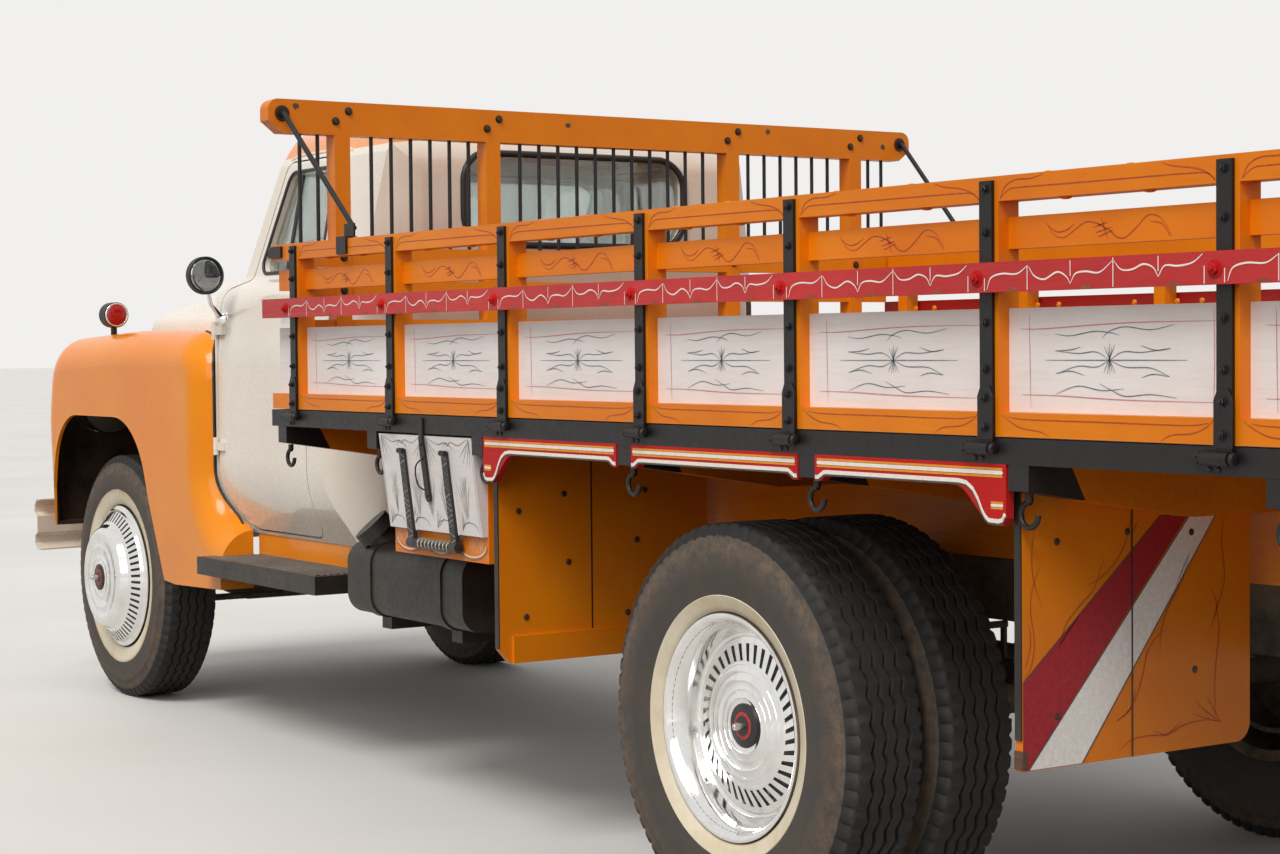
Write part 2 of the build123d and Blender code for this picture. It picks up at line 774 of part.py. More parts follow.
# Steering wheel on its column, which stands on the floor
column_radius = 19
wheel_centre = Vector(at(3120), 320, 1440)
column_foot = Vector(at(3560), 320, cab_floor)
with BuildPart() as steering_wheel:
    slope = column_foot - wheel_centre
    wheel_plane = Plane(origin=wheel_centre, z_dir=slope)
    with Locations(wheel_plane):
        Torus(205, 11)
        Cylinder(26, 40)
        for angle in (90, 210, 330):
            with Locations(Location((0, 0, 0), (0, 0, angle))):
                Box(205, 16, 9, align=(Align.MIN, Align.CENTER, Align.CENTER))
    rod(wheel_centre, column_foot, column_radius)
    floor_top = cab_floor + floor_thickness + seat_gap
    under = (cab_floor - 100, floor_top)
    block((at(3400), at(3700)), (200, 440), under, mode=Mode.SUBTRACT)
save(steering_wheel.part, "steering_wheel")


# Front fenders: side outline, hollow under, with the wheel opening cut
tail_arc_radius = 218
tail_arc_centre = (at(door_front) + 8 - tail_arc_radius, door_bottom + tail_arc_radius - 8)


def tail_arc_point(angle):
    """A point on the arc that follows the door's lower front corner, the angle below level."""
    turn = math.radians(angle)
    x, z = tail_arc_centre
    return (x + tail_arc_radius * math.cos(turn), z - tail_arc_radius * math.sin(turn))


def fender_profile(inset):
    """The fender's side outline: its rear edge follows the door, its foot ends at the sill panel."""
    top, low = tail_arc_point(0), tail_arc_point(tail_arc_angle)
    corners = [
        (low[0], 512), (at(3700), 500), (at(4890), 600), (at(4890), 640), (at(fender_front - 40), 650),
        (at(fender_front), 1080), (at(5020), fender_top - 18), (at(4250), fender_top + 10),
        (top[0], fender_top + 4),
    ]
    with BuildSketch() as shape:
        with BuildLine():
            Polyline(low, *corners, top)
            ThreePointArc(top, tail_arc_point(tail_arc_angle / 2), low)
        make_face()
        for index, radius in ((5, 400), (6, 200), (8, 190)):
            x, z = corners[index]
            fillet(shape.vertices().sort_by_distance((x, z, 0))[0], radius)
        if inset:
            offset(amount=-inset)
    return shape.sketch


tail_arc_angle = 74
fender_round = 130
fender_fold = 740
lamp_y = 690
lamp_z = 1130
lamp_radius = 112


def fender_form(inset, depth):
    """The fender's solid form, moved in by the inset, with its rounded outer edge."""
    with BuildPart() as form:
        with BuildSketch(side_plane(fender_outer_y - inset)):
            add(fender_profile(inset))
        extrude(amount=depth)
        rim_edges = form.faces().sort_by(Axis.Y)[-1].edges()
        fillet(rim_edges.filter_by(lambda edge: (edge @ 0.5).Z > fender_fold), fender_round - inset)
    return form.part


with BuildPart() as fender_left:
    add(fender_form(0, fender_outer_y - fender_inner_y))
    add(fender_form(panel_wall, fender_outer_y), mode=Mode.SUBTRACT)
    with BuildSketch(side_plane(1100)):
        add(outline(
            [
                (at(3745), 400), (at(3945), 800), (at(4060), 1098), (at(4880), 1098), (at(4960), 800),
                (at(4960), 400),
            ],
            {2: 330, 3: 250},
        ))
    extrude(amount=1000, mode=Mode.SUBTRACT)
    block((at(3000), at(cab_front) + 20), (0, cab_half_width - 60), (0, 1700), mode=Mode.SUBTRACT)
    add(cab_form(-door_gap, foot=0), mode=Mode.SUBTRACT)
    with Locations(Plane(origin=(at(fender_front) - 200, lamp_y, lamp_z), z_dir=(1, 0, 0))):
        Cylinder(
            lamp_radius + seat_gap, 220, align=(Align.CENTER, Align.CENTER, Align.MIN), mode=Mode.SUBTRACT
        )
save(fender_left.part, "fender_left")
save(mirrored(fender_left.part), "fender_right")


# Hood: side and front outlines crossed, hollow under
def hood_form(inset):
    """The hood's solid form, moved in by the inset."""
    with BuildPart() as form:
        with BuildSketch(side_plane(600)):
            add(outline(
                [
                    (at(hood_rear + 4), 1300), (at(hood_rear + 4), hood_top), (at(4450), hood_top - 6),
                    (at(5010), hood_top - 120), (at(hood_front), hood_top - 250), (at(hood_front), 1300),
                ],
                {2: 500, 3: 150, 4: 40},
            ))
            offset(amount=-inset)
        extrude(amount=1200)
        with BuildSketch(Plane.YZ.offset(at(hood_rear) - 100)):
            add(outline(
                [
                    (-fender_inner_y + 8, 1300), (-fender_inner_y + 8, 1470), (-350, hood_top - 22),
                    (0, hood_top),
                    (350, hood_top - 22), (fender_inner_y - 8, 1470), (fender_inner_y - 8, 1300),
                ],
                {1: 60, 2: 220, 4: 220, 5: 60},
            ))
            offset(amount=-inset)
        extrude(amount=2000, mode=Mode.INTERSECT)
    return form.part


hood_edge = fender_top - 40
with BuildPart() as hood:
    add(hood_form(0))
    add(hood_form(panel_wall), mode=Mode.SUBTRACT)
    block((at(3000), at(5500)), (-700, 700), (1000, hood_edge), mode=Mode.SUBTRACT)
    block((at(3000), at(hood_rear) + door_gap + 8), (-700, 700), (1000, 1700), mode=Mode.SUBTRACT)
    for y in hood_hinge_places:
        centre = Vector(at(hood_hinge_station), y, hood_hinge_z)
        half_barrel = Vector(0, hinge_middle / 2, 0)
        rod(centre - half_barrel, centre + half_barrel, hinge_barrel_radius)
        block(
            (at(hood_hinge_station) + 2, at(hood_hinge_station) + 70), (y - 20, y + 20),
            (hood_hinge_z - 30, hood_hinge_z - 2),
        )
        rod(
            centre - 2 * half_barrel, centre + 2 * half_barrel, hinge_core_radius + pin_gap,
            mode=Mode.SUBTRACT,
        )
save(hood.part, "hood")

# Nose panel between the fenders, with the grille opening
grille_half = 400
grille_low = 830
grille_high = 1215
with BuildPart() as nose_panel:
    block((at(5020), at(5060)), (-fender_inner_y, fender_inner_y), (rail_top + 2, hood_edge - door_gap))
    with BuildSketch(Plane.YZ.offset(at(5000))):
        with Locations((0, (grille_low + grille_high) / 2)):
            RectangleRounded(2 * grille_half, grille_high - grille_low, 90)
    extrude(amount=100, mode=Mode.SUBTRACT)
save(nose_panel.part, "nose_panel")

grille_bar_count = 6
grille_bar_height = 26
with BuildPart() as grille_bars:
    pitch = (grille_high - grille_low) / (grille_bar_count + 1)
    for index in range(grille_bar_count):
        z = grille_low + pitch * (index + 1)
        bar_z = (z - grille_bar_height / 2, z + grille_bar_height / 2)
        block((at(5024), at(5048)), (-grille_half, grille_half), bar_z)
    for y in (-200, 0, 200):
        block((at(5028), at(5044)), (y - 9, y + 9), (grille_low, grille_high))
    with BuildSketch(Plane.YZ.offset(at(5000))):
        with Locations((0, (grille_low + grille_high) / 2)):
            RectangleRounded(2 * (grille_half - seat_gap), grille_high - grille_low - 2 * seat_gap, 90)
    extrude(amount=100, mode=Mode.INTERSECT)
save(grille_bars.part, "grille_bars")

# Bumper: a ribbed channel, bowed in plan, on two brackets from the rails
bumper_half = 935
bumper_bow = 7200
bumper_wall = 5
bumper_depth = 52
bumper_front = at(wheelbase + front_overhang)
with BuildPart() as front_bumper:
    low = bumper_top - bumper_height
    bow_centre = bumper_front - bumper_bow
    span = math.degrees(math.asin(bumper_half / bumper_bow))
    bulge = 22
    front_points = [
        (bumper_bow - bumper_depth, low), (bumper_bow - bulge, low), (bumper_bow, low + 26),
        (bumper_bow, low + 58), (bumper_bow - bulge, low + 74), (bumper_bow - bulge, bumper_top - 74),
        (bumper_bow, bumper_top - 58), (bumper_bow, bumper_top - 26), (bumper_bow - bulge, bumper_top),
        (bumper_bow - bumper_depth, bumper_top),
    ]
    back_points = [
        (bumper_bow - bumper_depth - 1, low + bumper_wall), (bumper_bow - bulge - 2, low + bumper_wall),
        (bumper_bow - bumper_wall, low + 28), (bumper_bow - bumper_wall, low + 56),
        (bumper_bow - bulge - bumper_wall, low + 72), (bumper_bow - bulge - bumper_wall, bumper_top - 72),
        (bumper_bow - bumper_wall, bumper_top - 56), (bumper_bow - bumper_wall, bumper_top - 28),
        (bumper_bow - bulge - 2, bumper_top - bumper_wall),
        (bumper_bow - bumper_depth - 1, bumper_top - bumper_wall),
    ]
    start = Plane(origin=(bow_centre, 0, 0), x_dir=(1, 0, 0), z_dir=(0, -1, 0)).rotated((0, 0, -span))
    with BuildSketch(start):
        add(outline(front_points, {2: 16, 3: 16, 6: 16, 7: 16}))
        add(outline(back_points), mode=Mode.SUBTRACT)
    revolve(axis=Axis((bow_centre, 0, 0), (0, 0, 1)), revolution_arc=2 * span)
    for side in (1, -1):
        near = side * (rail_outer_y + seat_gap)
        block((at(4990), bumper_front - bulge - 14), (near, near + side * 12), (low + 90, bumper_top + 50))
save(front_bumper.part, "front_bumper")

# Headlamps in the fenders, with domed lenses
with BuildPart() as headlamps:
    for side in (1, -1):
        with Locations(Plane(origin=(at(fender_front) - 150, side * lamp_y, lamp_z), z_dir=(1, 0, 0))):
            Cylinder(lamp_radius, 160, align=(Align.CENTER, Align.CENTER, Align.MIN))
        with Locations(Plane(origin=(at(fender_front) + 10, side * lamp_y, lamp_z), z_dir=(1, 0, 0))):
            Cone(lamp_radius - 12, lamp_radius - 44, 16, align=(Align.CENTER, Align.CENTER, Align.MIN))
save(headlamps.part, "headlamps")

# Round marker lamps on the fender tops
marker_station = 4600
marker_y = 800
marker_radius = 50
with BuildPart() as marker_lamps:
    for side in (1, -1):
        foot = (at(marker_station), side * marker_y, fender_top - 90)
        rod(foot, (at(marker_station), side * marker_y, 1454), 12)
        rod(
            (at(marker_station) - 30, side * marker_y, 1494),
            (at(marker_station) + 30, side * marker_y, 1494),
            marker_radius,
        )
    raised_fender = fender_form(0, fender_outer_y - fender_inner_y).moved(Location((0, 0, seat_gap)))
    add(raised_fender, mode=Mode.SUBTRACT)
    add(mirrored(raised_fender), mode=Mode.SUBTRACT)
save(marker_lamps.part, "marker_lamps")

# Round mirrors on bent arms from the doors
mirror_radius = 66
mirror_centre = (at(3300), 970, 1610)
mirror_foot = (at(3403), cab_half_width - 14, 1462)
with BuildPart() as mirror_left:
    elbow = (at(3356), 925, 1512)
    rod((mirror_foot[0], 780, mirror_foot[2]), (mirror_foot[0], mirror_foot[1] + 12, mirror_foot[2]), 17)
    rod((mirror_foot[0], mirror_foot[1] + 6, mirror_foot[2]), elbow, 6)
    with Locations(elbow):
        Sphere(6)
    rod(elbow, mirror_centre, 6)
    rod(
        (mirror_centre[0] - 12, mirror_centre[1], mirror_centre[2]),
        (mirror_centre[0] + 10, mirror_centre[1], mirror_centre[2]), mirror_radius,
    )
    add(cab_outer.moved(Location((0, seat_gap, 0))), mode=Mode.SUBTRACT)
save(mirror_left.part, "mirror_left")
save(mirrored(mirror_left.part), "mirror_right")

# Running boards on brackets from the rails
step_run = (2400, 3336)
step_outer = 1000
step_inner = 730
step_top = 630
step_thickness = 60
with BuildPart() as running_boards:
    for side in (1, -1):
        block(
            (at(step_run[0]), at(step_run[1])), (side * step_inner, side * step_outer),
            (step_top - step_thickness, step_top),
        )
        block(
            (tail_arc_point(tail_arc_angle)[0] - seat_gap, at(step_run[1]) + 1),
            (side * (step_inner - 1), side * (fender_outer_y + seat_gap)),
            (step_top - step_thickness - 1, step_top + 1), mode=Mode.SUBTRACT,
        )
        for station in (2500, 3080):
            block(
                (at(station) - 25, at(station) + 25),
                (side * (rail_outer_y + seat_gap), side * (step_inner + 4)),
                (step_top - 46, step_top - 6),
            )
            block(
                (at(station) - 25, at(station) + 25),
                (side * (rail_outer_y + seat_gap), side * (rail_outer_y + 10)),
                (step_top - 46, rail_bottom + 100),
            )
save(running_boards.part, "running_boards")

# Sill panels between the running boards and the cab
panel_y = cab_sill_half - 4
with BuildPart() as sill_panels:
    for side in (1, -1):
        block(
            (at(step_run[0]) + 10, tail_arc_point(tail_arc_angle)[0] - seat_gap),
            (side * (panel_y - 8), side * panel_y),
            (step_top + seat_gap, cab_bottom - seat_gap),
        )
save(sill_panels.part, "sill_panels")

# Fuel tank with its straps, hangers and slanted filler
tank_run = (1362, 2068)
tank_outer = 1050
tank_inner = 560
tank_low = 550
tank_high = 768
tank_corner = 62
strap_bulge = 5
cap_centre = (1968, 1000, 802)
with BuildPart() as fuel_tank:
    tank_y = (tank_outer + tank_inner) / 2
    tank_z = (tank_low + tank_high) / 2
    with BuildSketch(Plane.YZ.offset(at(tank_run[0]))):
        with Locations((tank_y, tank_z)):
            RectangleRounded(tank_outer - tank_inner, tank_high - tank_low, tank_corner)
    extrude(amount=tank_run[1] - tank_run[0])
    for station in (1500, 1930):
        with BuildSketch(Plane.YZ.offset(at(station) - 20)):
            with Locations((tank_y, tank_z)):
                RectangleRounded(
                    tank_outer - tank_inner + 2 * strap_bulge, tank_high - tank_low + 2 * strap_bulge,
                    tank_corner + strap_bulge,
                )
        extrude(amount=40)
        block(
            (at(station) - 20, at(station) + 20), (rail_outer_y + seat_gap, tank_inner + 20),
            (rail_bottom + 10, tank_high - 10),
        )
        block(
            (at(station) - 30, at(station) + 30), (rail_outer_y + seat_gap, tank_outer - 60),
            (tank_low - 40, tank_low - strap_bulge + 1),
        )
        block(
            (at(station) - 30, at(station) + 30), (rail_outer_y + seat_gap, rail_outer_y + 20),
            (tank_low - 40, rail_bottom + 60),
        )
    neck_foot = (at(cap_centre[0]) - 20, 960, tank_high - 30)
    cap = Vector(at(cap_centre[0]), cap_centre[1], cap_centre[2])
    slant = Vector(0.25, 0.62, 0.74).normalized()
    rod(neck_foot, cap, 46)
    rod(cap - slant * 10, cap + slant * 30, 60)
save(fuel_tank.part, "fuel_tank")

# Bed: two sills on the rails and crossbeams with tapered tips
crossbeam_stations = (2190, 1600, 1000, 298, -410, -1065, -1700, -2180)
taper_inner = 760
sill_outer = rail_outer_y + 38
with BuildPart() as bed_subframe:
    for side in (1, -1):
        block(
            (at(bed_rear + rim_beam_depth), at(bed_front - rim_beam_depth)),
            (side * (sill_outer - sill_width), side * sill_outer), (sill_bottom, sill_top + 1),
        )
    for station in crossbeam_stations:
        with BuildSketch(Plane.YZ.offset(at(station) - crossbeam_width / 2)):
            add(outline([
                (-bed_half_width + 2, rim_beam_bottom), (bed_half_width - 2, rim_beam_bottom),
                (bed_half_width - 2, rim_beam_bottom - crossbeam_tip_height), (taper_inner, crossbeam_bottom),
                (-taper_inner, crossbeam_bottom),
                (-bed_half_width + 2, rim_beam_bottom - crossbeam_tip_height),
            ]))
        extrude(amount=crossbeam_width)
save(bed_subframe.part, "bed_subframe")

# Black rim round the deck
with BuildPart() as bed_rim:
    block((at(bed_rear), at(bed_front)), (-bed_half_width, bed_half_width), (rim_beam_bottom, rim_beam_top))
    block(
        (at(bed_rear + rim_beam_depth), at(bed_front - rim_beam_depth)),
        (-bed_half_width + rim_beam_depth, bed_half_width - rim_beam_depth),
        (rim_beam_bottom - 1, rim_beam_top + 1), mode=Mode.SUBTRACT,
    )
save(bed_rim.part, "bed_rim")

# Deck of long planks with open joints, lying on the crossbeams inside the rim
plank_count = 12
plank_joint = 4
with BuildPart() as bed_floor:
    deck_half = bed_half_width - rim_beam_depth - seat_gap
    deck_run = (at(bed_rear + rim_beam_depth) + seat_gap, at(bed_front - rim_beam_depth) - seat_gap)
    pitch = 2 * deck_half / plank_count
    block(deck_run, (-deck_half, deck_half), (rim_beam_bottom, deck_top))
    for index in range(1, plank_count):
        y = -deck_half + pitch * index
        joint_y = (y - plank_joint / 2, y + plank_joint / 2)
        block(deck_run, joint_y, (deck_top - 12, deck_top + 1), mode=Mode.SUBTRACT)
save(bed_floor.part, "bed_floor")

# Gates: orange frame, white boards with the red rail, and black irons. Each is made with its outer
# post face on the XZ plane, outward along +Y, then turned to its side of the bed.
side_stations = (2087, 1469, 851, 215, -363, -986, -1588, -2190)
tail_offsets = (-1040, -400, 240, 880)
gate_end_margin = 8
bottom_rail_height = 46
white_top = 1416
slat_low = 1529
slat_high = 1590
top_rail_low = 1620
top_rail_high = 1668
red_low = 1446
red_high = 1503
strap_top = 1660


def gate_frame(run, posts):
    """Bottom rail, posts, upper slat and top rail."""
    with BuildPart() as frame:
        block(run, (-gate_depth, 0), (gate_bottom, gate_bottom + bottom_rail_height))
        block(run, (-gate_depth, 0), (top_rail_low, top_rail_high))
        slat_y = (-gate_slat - gate_depth / 2, -gate_depth / 2)
        block(run, slat_y, (slat_low, slat_high))
        for x in posts:
            post_x = (x - gate_post_width + strap_width / 2, x + strap_width / 2)
            block(post_x, (-gate_depth, 0), (gate_bottom, top_rail_high))
    return frame.part


def gate_boards(run, posts):
    """White boards between the posts, and the red rail over the straps."""
    low = gate_bottom + bottom_rail_height + seat_gap
    board_y = (-gate_slat - gate_depth / 2, -gate_depth / 2)
    with BuildPart() as boards:
        block(run, board_y, (low, white_top))
        for x in posts:
            post_x = (
                x - gate_post_width + strap_width / 2 - seat_gap,
                x + strap_width / 2 + seat_gap,
            )
            block(post_x, (-gate_depth, 1), (low - 1, white_top + 1), mode=Mode.SUBTRACT)
        rail_y = (strap_thickness + seat_gap, strap_thickness + gate_rail_thickness)
        block((run[0] - 4, run[1] + 4), rail_y, (red_low, red_high))
    return boards.part


def gate_irons(posts):
    """Straps down the posts, each rolled round its hinge pin at the foot."""
    with BuildPart() as irons:
        for x in posts:
            strap_x = (x - strap_width / 2, x + strap_width / 2)
            block(strap_x, (seat_gap, strap_thickness), (hinge_z + 8, strap_top))
            eye_y = hinge_y - bed_half_width
            rod((x - strap_width / 2, eye_y, hinge_z), (x + strap_width / 2, eye_y, hinge_z), hinge_radius)
            rod(
                (x - strap_width, eye_y, hinge_z), (x + strap_width, eye_y, hinge_z),
                hinge_pin_radius + pin_gap, mode=Mode.SUBTRACT,
            )
    return irons.part


def gate_pins(posts):
    """The pins on the rim, each held by a lug beside the strap's eye."""
    with BuildPart() as pins:
        for x in posts:
            eye_y = hinge_y - bed_half_width
            near = x + strap_width / 2 + 1
            start = (x - strap_width / 2 - 6, eye_y, hinge_z)
            rod(start, (near + hinge_pin_length, eye_y, hinge_z), hinge_pin_radius)
            rod((near, eye_y, hinge_z), (near + hinge_lug_length, eye_y, hinge_z), hinge_radius - 1)
            block(
                (near, near + hinge_lug_length), (seat_gap, eye_y),
                (hinge_z - hinge_radius + 1, hinge_z + hinge_radius - 1),
            )
    return pins.part


side_run = (at(bed_rear) + gate_end_margin, at(bed_front) - gate_end_margin)
side_posts = [at(station) for station in side_stations]
tail_half = bed_half_width - gate_depth - gate_gap
tail_run = (-tail_half, tail_half)
left_place = Location((0, bed_half_width, 0))
tail_place = Location((at(bed_rear), 0, 0), (0, 0, 90))
stay_station = 1760
stay_foot_y = 1170
left_frame = gate_frame(side_run, side_posts).moved(left_place)
left_boards = gate_boards(side_run, side_posts).moved(left_place)
with BuildPart() as left_iron_set:
    add(gate_irons(side_posts).moved(left_place))
    stay_x = (at(stay_station) - 30, at(stay_station) + 30)
    plate_y = (bed_half_width + seat_gap, bed_half_width + strap_thickness)
    block(stay_x, plate_y, (top_rail_low + 4, top_rail_high + 6))
    block(stay_x, (stay_foot_y + 4, plate_y[1]), (top_rail_high + seat_gap, top_rail_high + 6))
    block(stay_x, (stay_foot_y + 10, stay_foot_y + 16), (top_rail_high + 1, top_rail_high + 44))
    corner_x = (side_run[1] - 84, side_run[1] + 6)
    block(corner_x, plate_y, (top_rail_low + 8, top_rail_high - 6))
    plate_x = (side_run[1] + seat_gap, side_run[1] + 6)
    block(plate_x, (plate_y[0] - 30, plate_y[1]), (top_rail_low + 8, top_rail_high - 6))
left_irons = left_iron_set.part
left_pins = gate_pins(side_posts).moved(left_place)
save(left_frame, "gate_left_frame")
save(left_boards, "gate_left_boards")
save(left_irons, "gate_left_irons")
save(mirrored(left_frame), "gate_right_frame")
save(mirrored(left_boards), "gate_right_boards")
save(mirrored(left_irons), "gate_right_irons")
tail_frame = gate_frame(tail_run, tail_offsets).moved(tail_place)
tail_boards = gate_boards((tail_run[0] + 4, tail_run[1] - 4), tail_offsets).moved(tail_place)
tail_irons = gate_irons(tail_offsets).moved(tail_place)
tail_pins = gate_pins(tail_offsets).moved(tail_place)
save(tail_frame, "tailgate_frame")
save(tail_boards, "tailgate_boards")
save(tail_irons, "tailgate_irons")
save(Compound(children=[left_pins, mirrored(left_pins), tail_pins]), "gate_hinges")

# Headboard: posts, slats and the long top beam, with a grille of upright rods
post_centres = (-1004, -471, 471, 1004)
rod_groups = ((-1138, 60, 2), (-895, 69, 6), (-360, 72, 11), (550, 69, 6), (1078, 60, 2))
rail_z = 1600
headboard_slats = ((deck_top + 4, 1340), (1366, 1440), (1500, 1560))
with BuildPart() as headboard_frame:
    x_run = (at(headboard_station), at(headboard_station + headboard_depth))
    beam_low = headboard_top - headboard_beam_height
    with BuildSketch(Plane.YZ.offset(x_run[0])):
        half = headboard_beam_half
        add(outline(
            [
                (-half, headboard_top), (half, headboard_top), (half, beam_low + 36), (half - 46, beam_low),
                (-half + 46, beam_low), (-half, beam_low + 36),
            ],
            {0: 34, 1: 34},
        ))
    extrude(amount=headboard_depth)
    for y in post_centres:
        block(x_run, (y - headboard_post_width / 2, y + headboard_post_width / 2), (deck_top, beam_low + 1))
    slat_half = bed_half_width - gate_depth - 6
    slat_x = (x_run[0] + 8, x_run[0] + 34)
    for low, high in headboard_slats:
        block(slat_x, (-slat_half, slat_half), (low, high))
    block((x_run[0] + 4, x_run[1] - 4), (-slat_half, slat_half), (rail_z, rail_z + 62))
save(headboard_frame.part, "headboard_frame")

with BuildPart() as headboard_rods:
    rod_x = at(headboard_station) + 22
    for first, pitch, count in rod_groups:
        for index in range(count):
            y = first + pitch * index
            rod((rod_x, y, rail_z + 62), (rod_x, y, beam_low), rod_radius)
    # The stay rods run from the beam's ends down to the gates' brackets
    for side in (1, -1):
        top_end = (at(headboard_station) - 14, side * 1206, headboard_top - 44)
        foot = (at(stay_station), side * stay_foot_y, top_rail_high + 32)
        rod((at(headboard_station) - seat_gap, side * 1206, headboard_top - 44), top_end, 14)
        rod(top_end, foot, 8)
        with Locations(foot):
            Sphere(9)
save(headboard_rods.part, "headboard_rods")

# Valance boards under the rim, whose outer ends drop in a curve
valance_runs = ((965, 330, 1), (266, -380, 0), (-440, -1032, -1))
valance_thickness = 20
valance_bottom = 1062
valance_arch = 1074
valance_foot = 1000
# distance in from the end, height, corner radius
valance_drop_end = ((0, rim_beam_bottom, 0), (0, valance_foot + 14, 0), (8, valance_foot, 0),
                    (50, valance_foot, 26), (128, valance_arch, 60))
valance_plain_end = ((0, rim_beam_bottom, 0), (0, valance_bottom, 0), (18, valance_bottom, 10),
                     (36, valance_arch, 14))
with BuildPart() as valance_boards:
    for side in (1, -1):
        near = bed_half_width if side > 0 else -bed_half_width + valance_thickness
        for front, rear, drop in valance_runs:
            front_shape = valance_drop_end if drop > 0 else valance_plain_end
            rear_shape = valance_drop_end if drop < 0 else valance_plain_end
            corners = [(front - inward, z, radius) for inward, z, radius in front_shape]
            corners += [(rear + inward, z, radius) for inward, z, radius in reversed(rear_shape)]
            with BuildSketch(side_plane(near)):
                add(outline(
                    [(at(x), z) for x, z, radius in corners],
                    {index: corner[2] for index, corner in enumerate(corners) if corner[2]},
                ))
            extrude(amount=valance_thickness)
save(valance_boards.part, "valance_boards")

# Boards before and behind the rear wheels, hung from the crossbeams
with BuildPart() as wheel_boards:
    board_thickness = 20
    front_face_x = at(crossbeam_stations[2]) - crossbeam_width / 2
    rear_face_x = at(crossbeam_stations[5]) + crossbeam_width / 2
    for side in (1, -1):
        with BuildSketch(Plane.YZ.offset(front_face_x - board_thickness)):
            add(outline(
                [
                    (side * 500, rim_beam_bottom), (side * 1168, rim_beam_bottom), (side * 1168, 556),
                    (side * 1136, 520), (side * 500, 520),
                ],
            ))
        extrude(amount=board_thickness)
        block((front_face_x - board_thickness - 8, front_face_x - 1), (side * 500, side * 1130), (520, 592))
        with BuildSketch(Plane.YZ.offset(rear_face_x)):
            add(outline(
                [
                    (side * 536, rim_beam_bottom), (side * 1168, rim_beam_bottom), (side * 1168, 524),
                    (side * 536, 524),
                ],
                {3: 40},
            ))
        extrude(amount=board_thickness)
save(wheel_boards.part, "wheel_boards")

# Rope hooks under the crossbeam tips
hook_radius = 24
hook_wire = 6
hook_stem = 16
hook_y = bed_half_width - 30
tip_slope = (crossbeam_tip_height - (rim_beam_bottom - crossbeam_bottom)) / (bed_half_width - taper_inner)
hook_top = rim_beam_bottom - crossbeam_tip_height + tip_slope * (bed_half_width - hook_y + 10) - seat_gap
with BuildPart() as rope_hook:
    with Locations(side_plane(0)):
        Torus(hook_radius, hook_wire)
    block((-2 * hook_radius, -3), (-20, 20), (0, 2 * hook_radius), mode=Mode.SUBTRACT)
    rod((0, 0, hook_radius), (0, 0, hook_radius + hook_stem), hook_wire + 2)

with BuildPart() as rope_hooks:
    for side in (1, -1):
        for station in crossbeam_stations[:7]:
            with Locations((at(station), side * hook_y, hook_top - hook_radius - hook_stem)):
                add(rope_hook.part)
save(rope_hooks.part, "rope_hooks")

# Tool box under the bed on the left, with a drop-down lid
box_run = (1036, 1564)
box_inner = 760
box_face = 1150
box_top = rim_beam_bottom
box_low = 862
box_floor_low = 776
box_wall = 20
lid_thickness = 34
lid_hinge_z = 812
lid_hinge_y = box_face + 20
lid_strips = (1180, 1420)
roller_radius = 15
with BuildPart() as tool_box:
    box_x = (at(box_run[0]), at(box_run[1]))
    block(box_x, (box_inner, box_face), (box_low, box_top))
    block(
        (box_x[0] + box_wall, box_x[1] - box_wall), (box_inner + box_wall, box_face + 1),
        (box_low + box_wall, box_top - box_wall), mode=Mode.SUBTRACT,
    )
    block((box_x[0], box_x[1]), (box_face - box_wall, box_face), (box_floor_low, box_low + 1))
    first, last = at(lid_strips[0]), at(lid_strips[1])
    rod((first - 24, lid_hinge_y, lid_hinge_z), (last + 24, lid_hinge_y, lid_hinge_z), hinge_pin_radius)
    rod((first + 20, lid_hinge_y, lid_hinge_z), (last - 20, lid_hinge_y, lid_hinge_z), roller_radius)
    block(
        (first + 30, last - 30), (box_face - 1, lid_hinge_y),
        (lid_hinge_z - 10, lid_hinge_z + 10),
    )
save(tool_box.part, "tool_box")

lid_top = box_top - 6
lid_low = box_low - 14
lid_face = bed_half_width - 4
with BuildPart() as tool_box_lid:
    with BuildSketch(Plane.YZ.offset(at(box_run[0]) + 3)):
        add(outline([
            (box_face + seat_gap, lid_top), (lid_face, lid_top), (lid_face - lid_thickness, lid_low),
            (box_face + seat_gap, lid_low),
        ]))
    extrude(amount=box_run[1] - box_run[0] - 6)
    for x in lid_strips:
        with BuildSketch(Plane.YZ.offset(at(x) - 15)):
            add(outline([
                (lid_face - 2, lid_top - 40), (lid_face + 5, lid_top - 40), (lid_hinge_y + 6, lid_hinge_z),
                (lid_hinge_y - 6, lid_hinge_z), (lid_face - lid_thickness - 2, lid_low),
            ]))
        extrude(amount=30)
        rod((at(x) - 18, lid_hinge_y, lid_hinge_z), (at(x) + 18, lid_hinge_y, lid_hinge_z), roller_radius)
        rod(
            (at(x) - 30, lid_hinge_y, lid_hinge_z), (at(x) + 30, lid_hinge_y, lid_hinge_z),
            hinge_pin_radius + pin_gap, mode=Mode.SUBTRACT,
        )
save(tool_box_lid.part, "tool_box_lid")

# Tail lamps on brackets under the rear crossbeam
with BuildPart() as tail_lamps:
    for side in (1, -1):
        x = at(crossbeam_stations[-1]) - crossbeam_width / 2
        block((x - 6, x - seat_gap), (side * 640, side * 1000), (1000, 1100))
        for y in (720, 900):
            rod((x - 6, side * y, 1050), (x - 44, side * y, 1050), 44)
save(tail_lamps.part, "tail_lamps")
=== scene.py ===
import math
import random
import bmesh
import bpy
from mathutils import Matrix, Vector
from mathutils.bvhtree import BVHTree


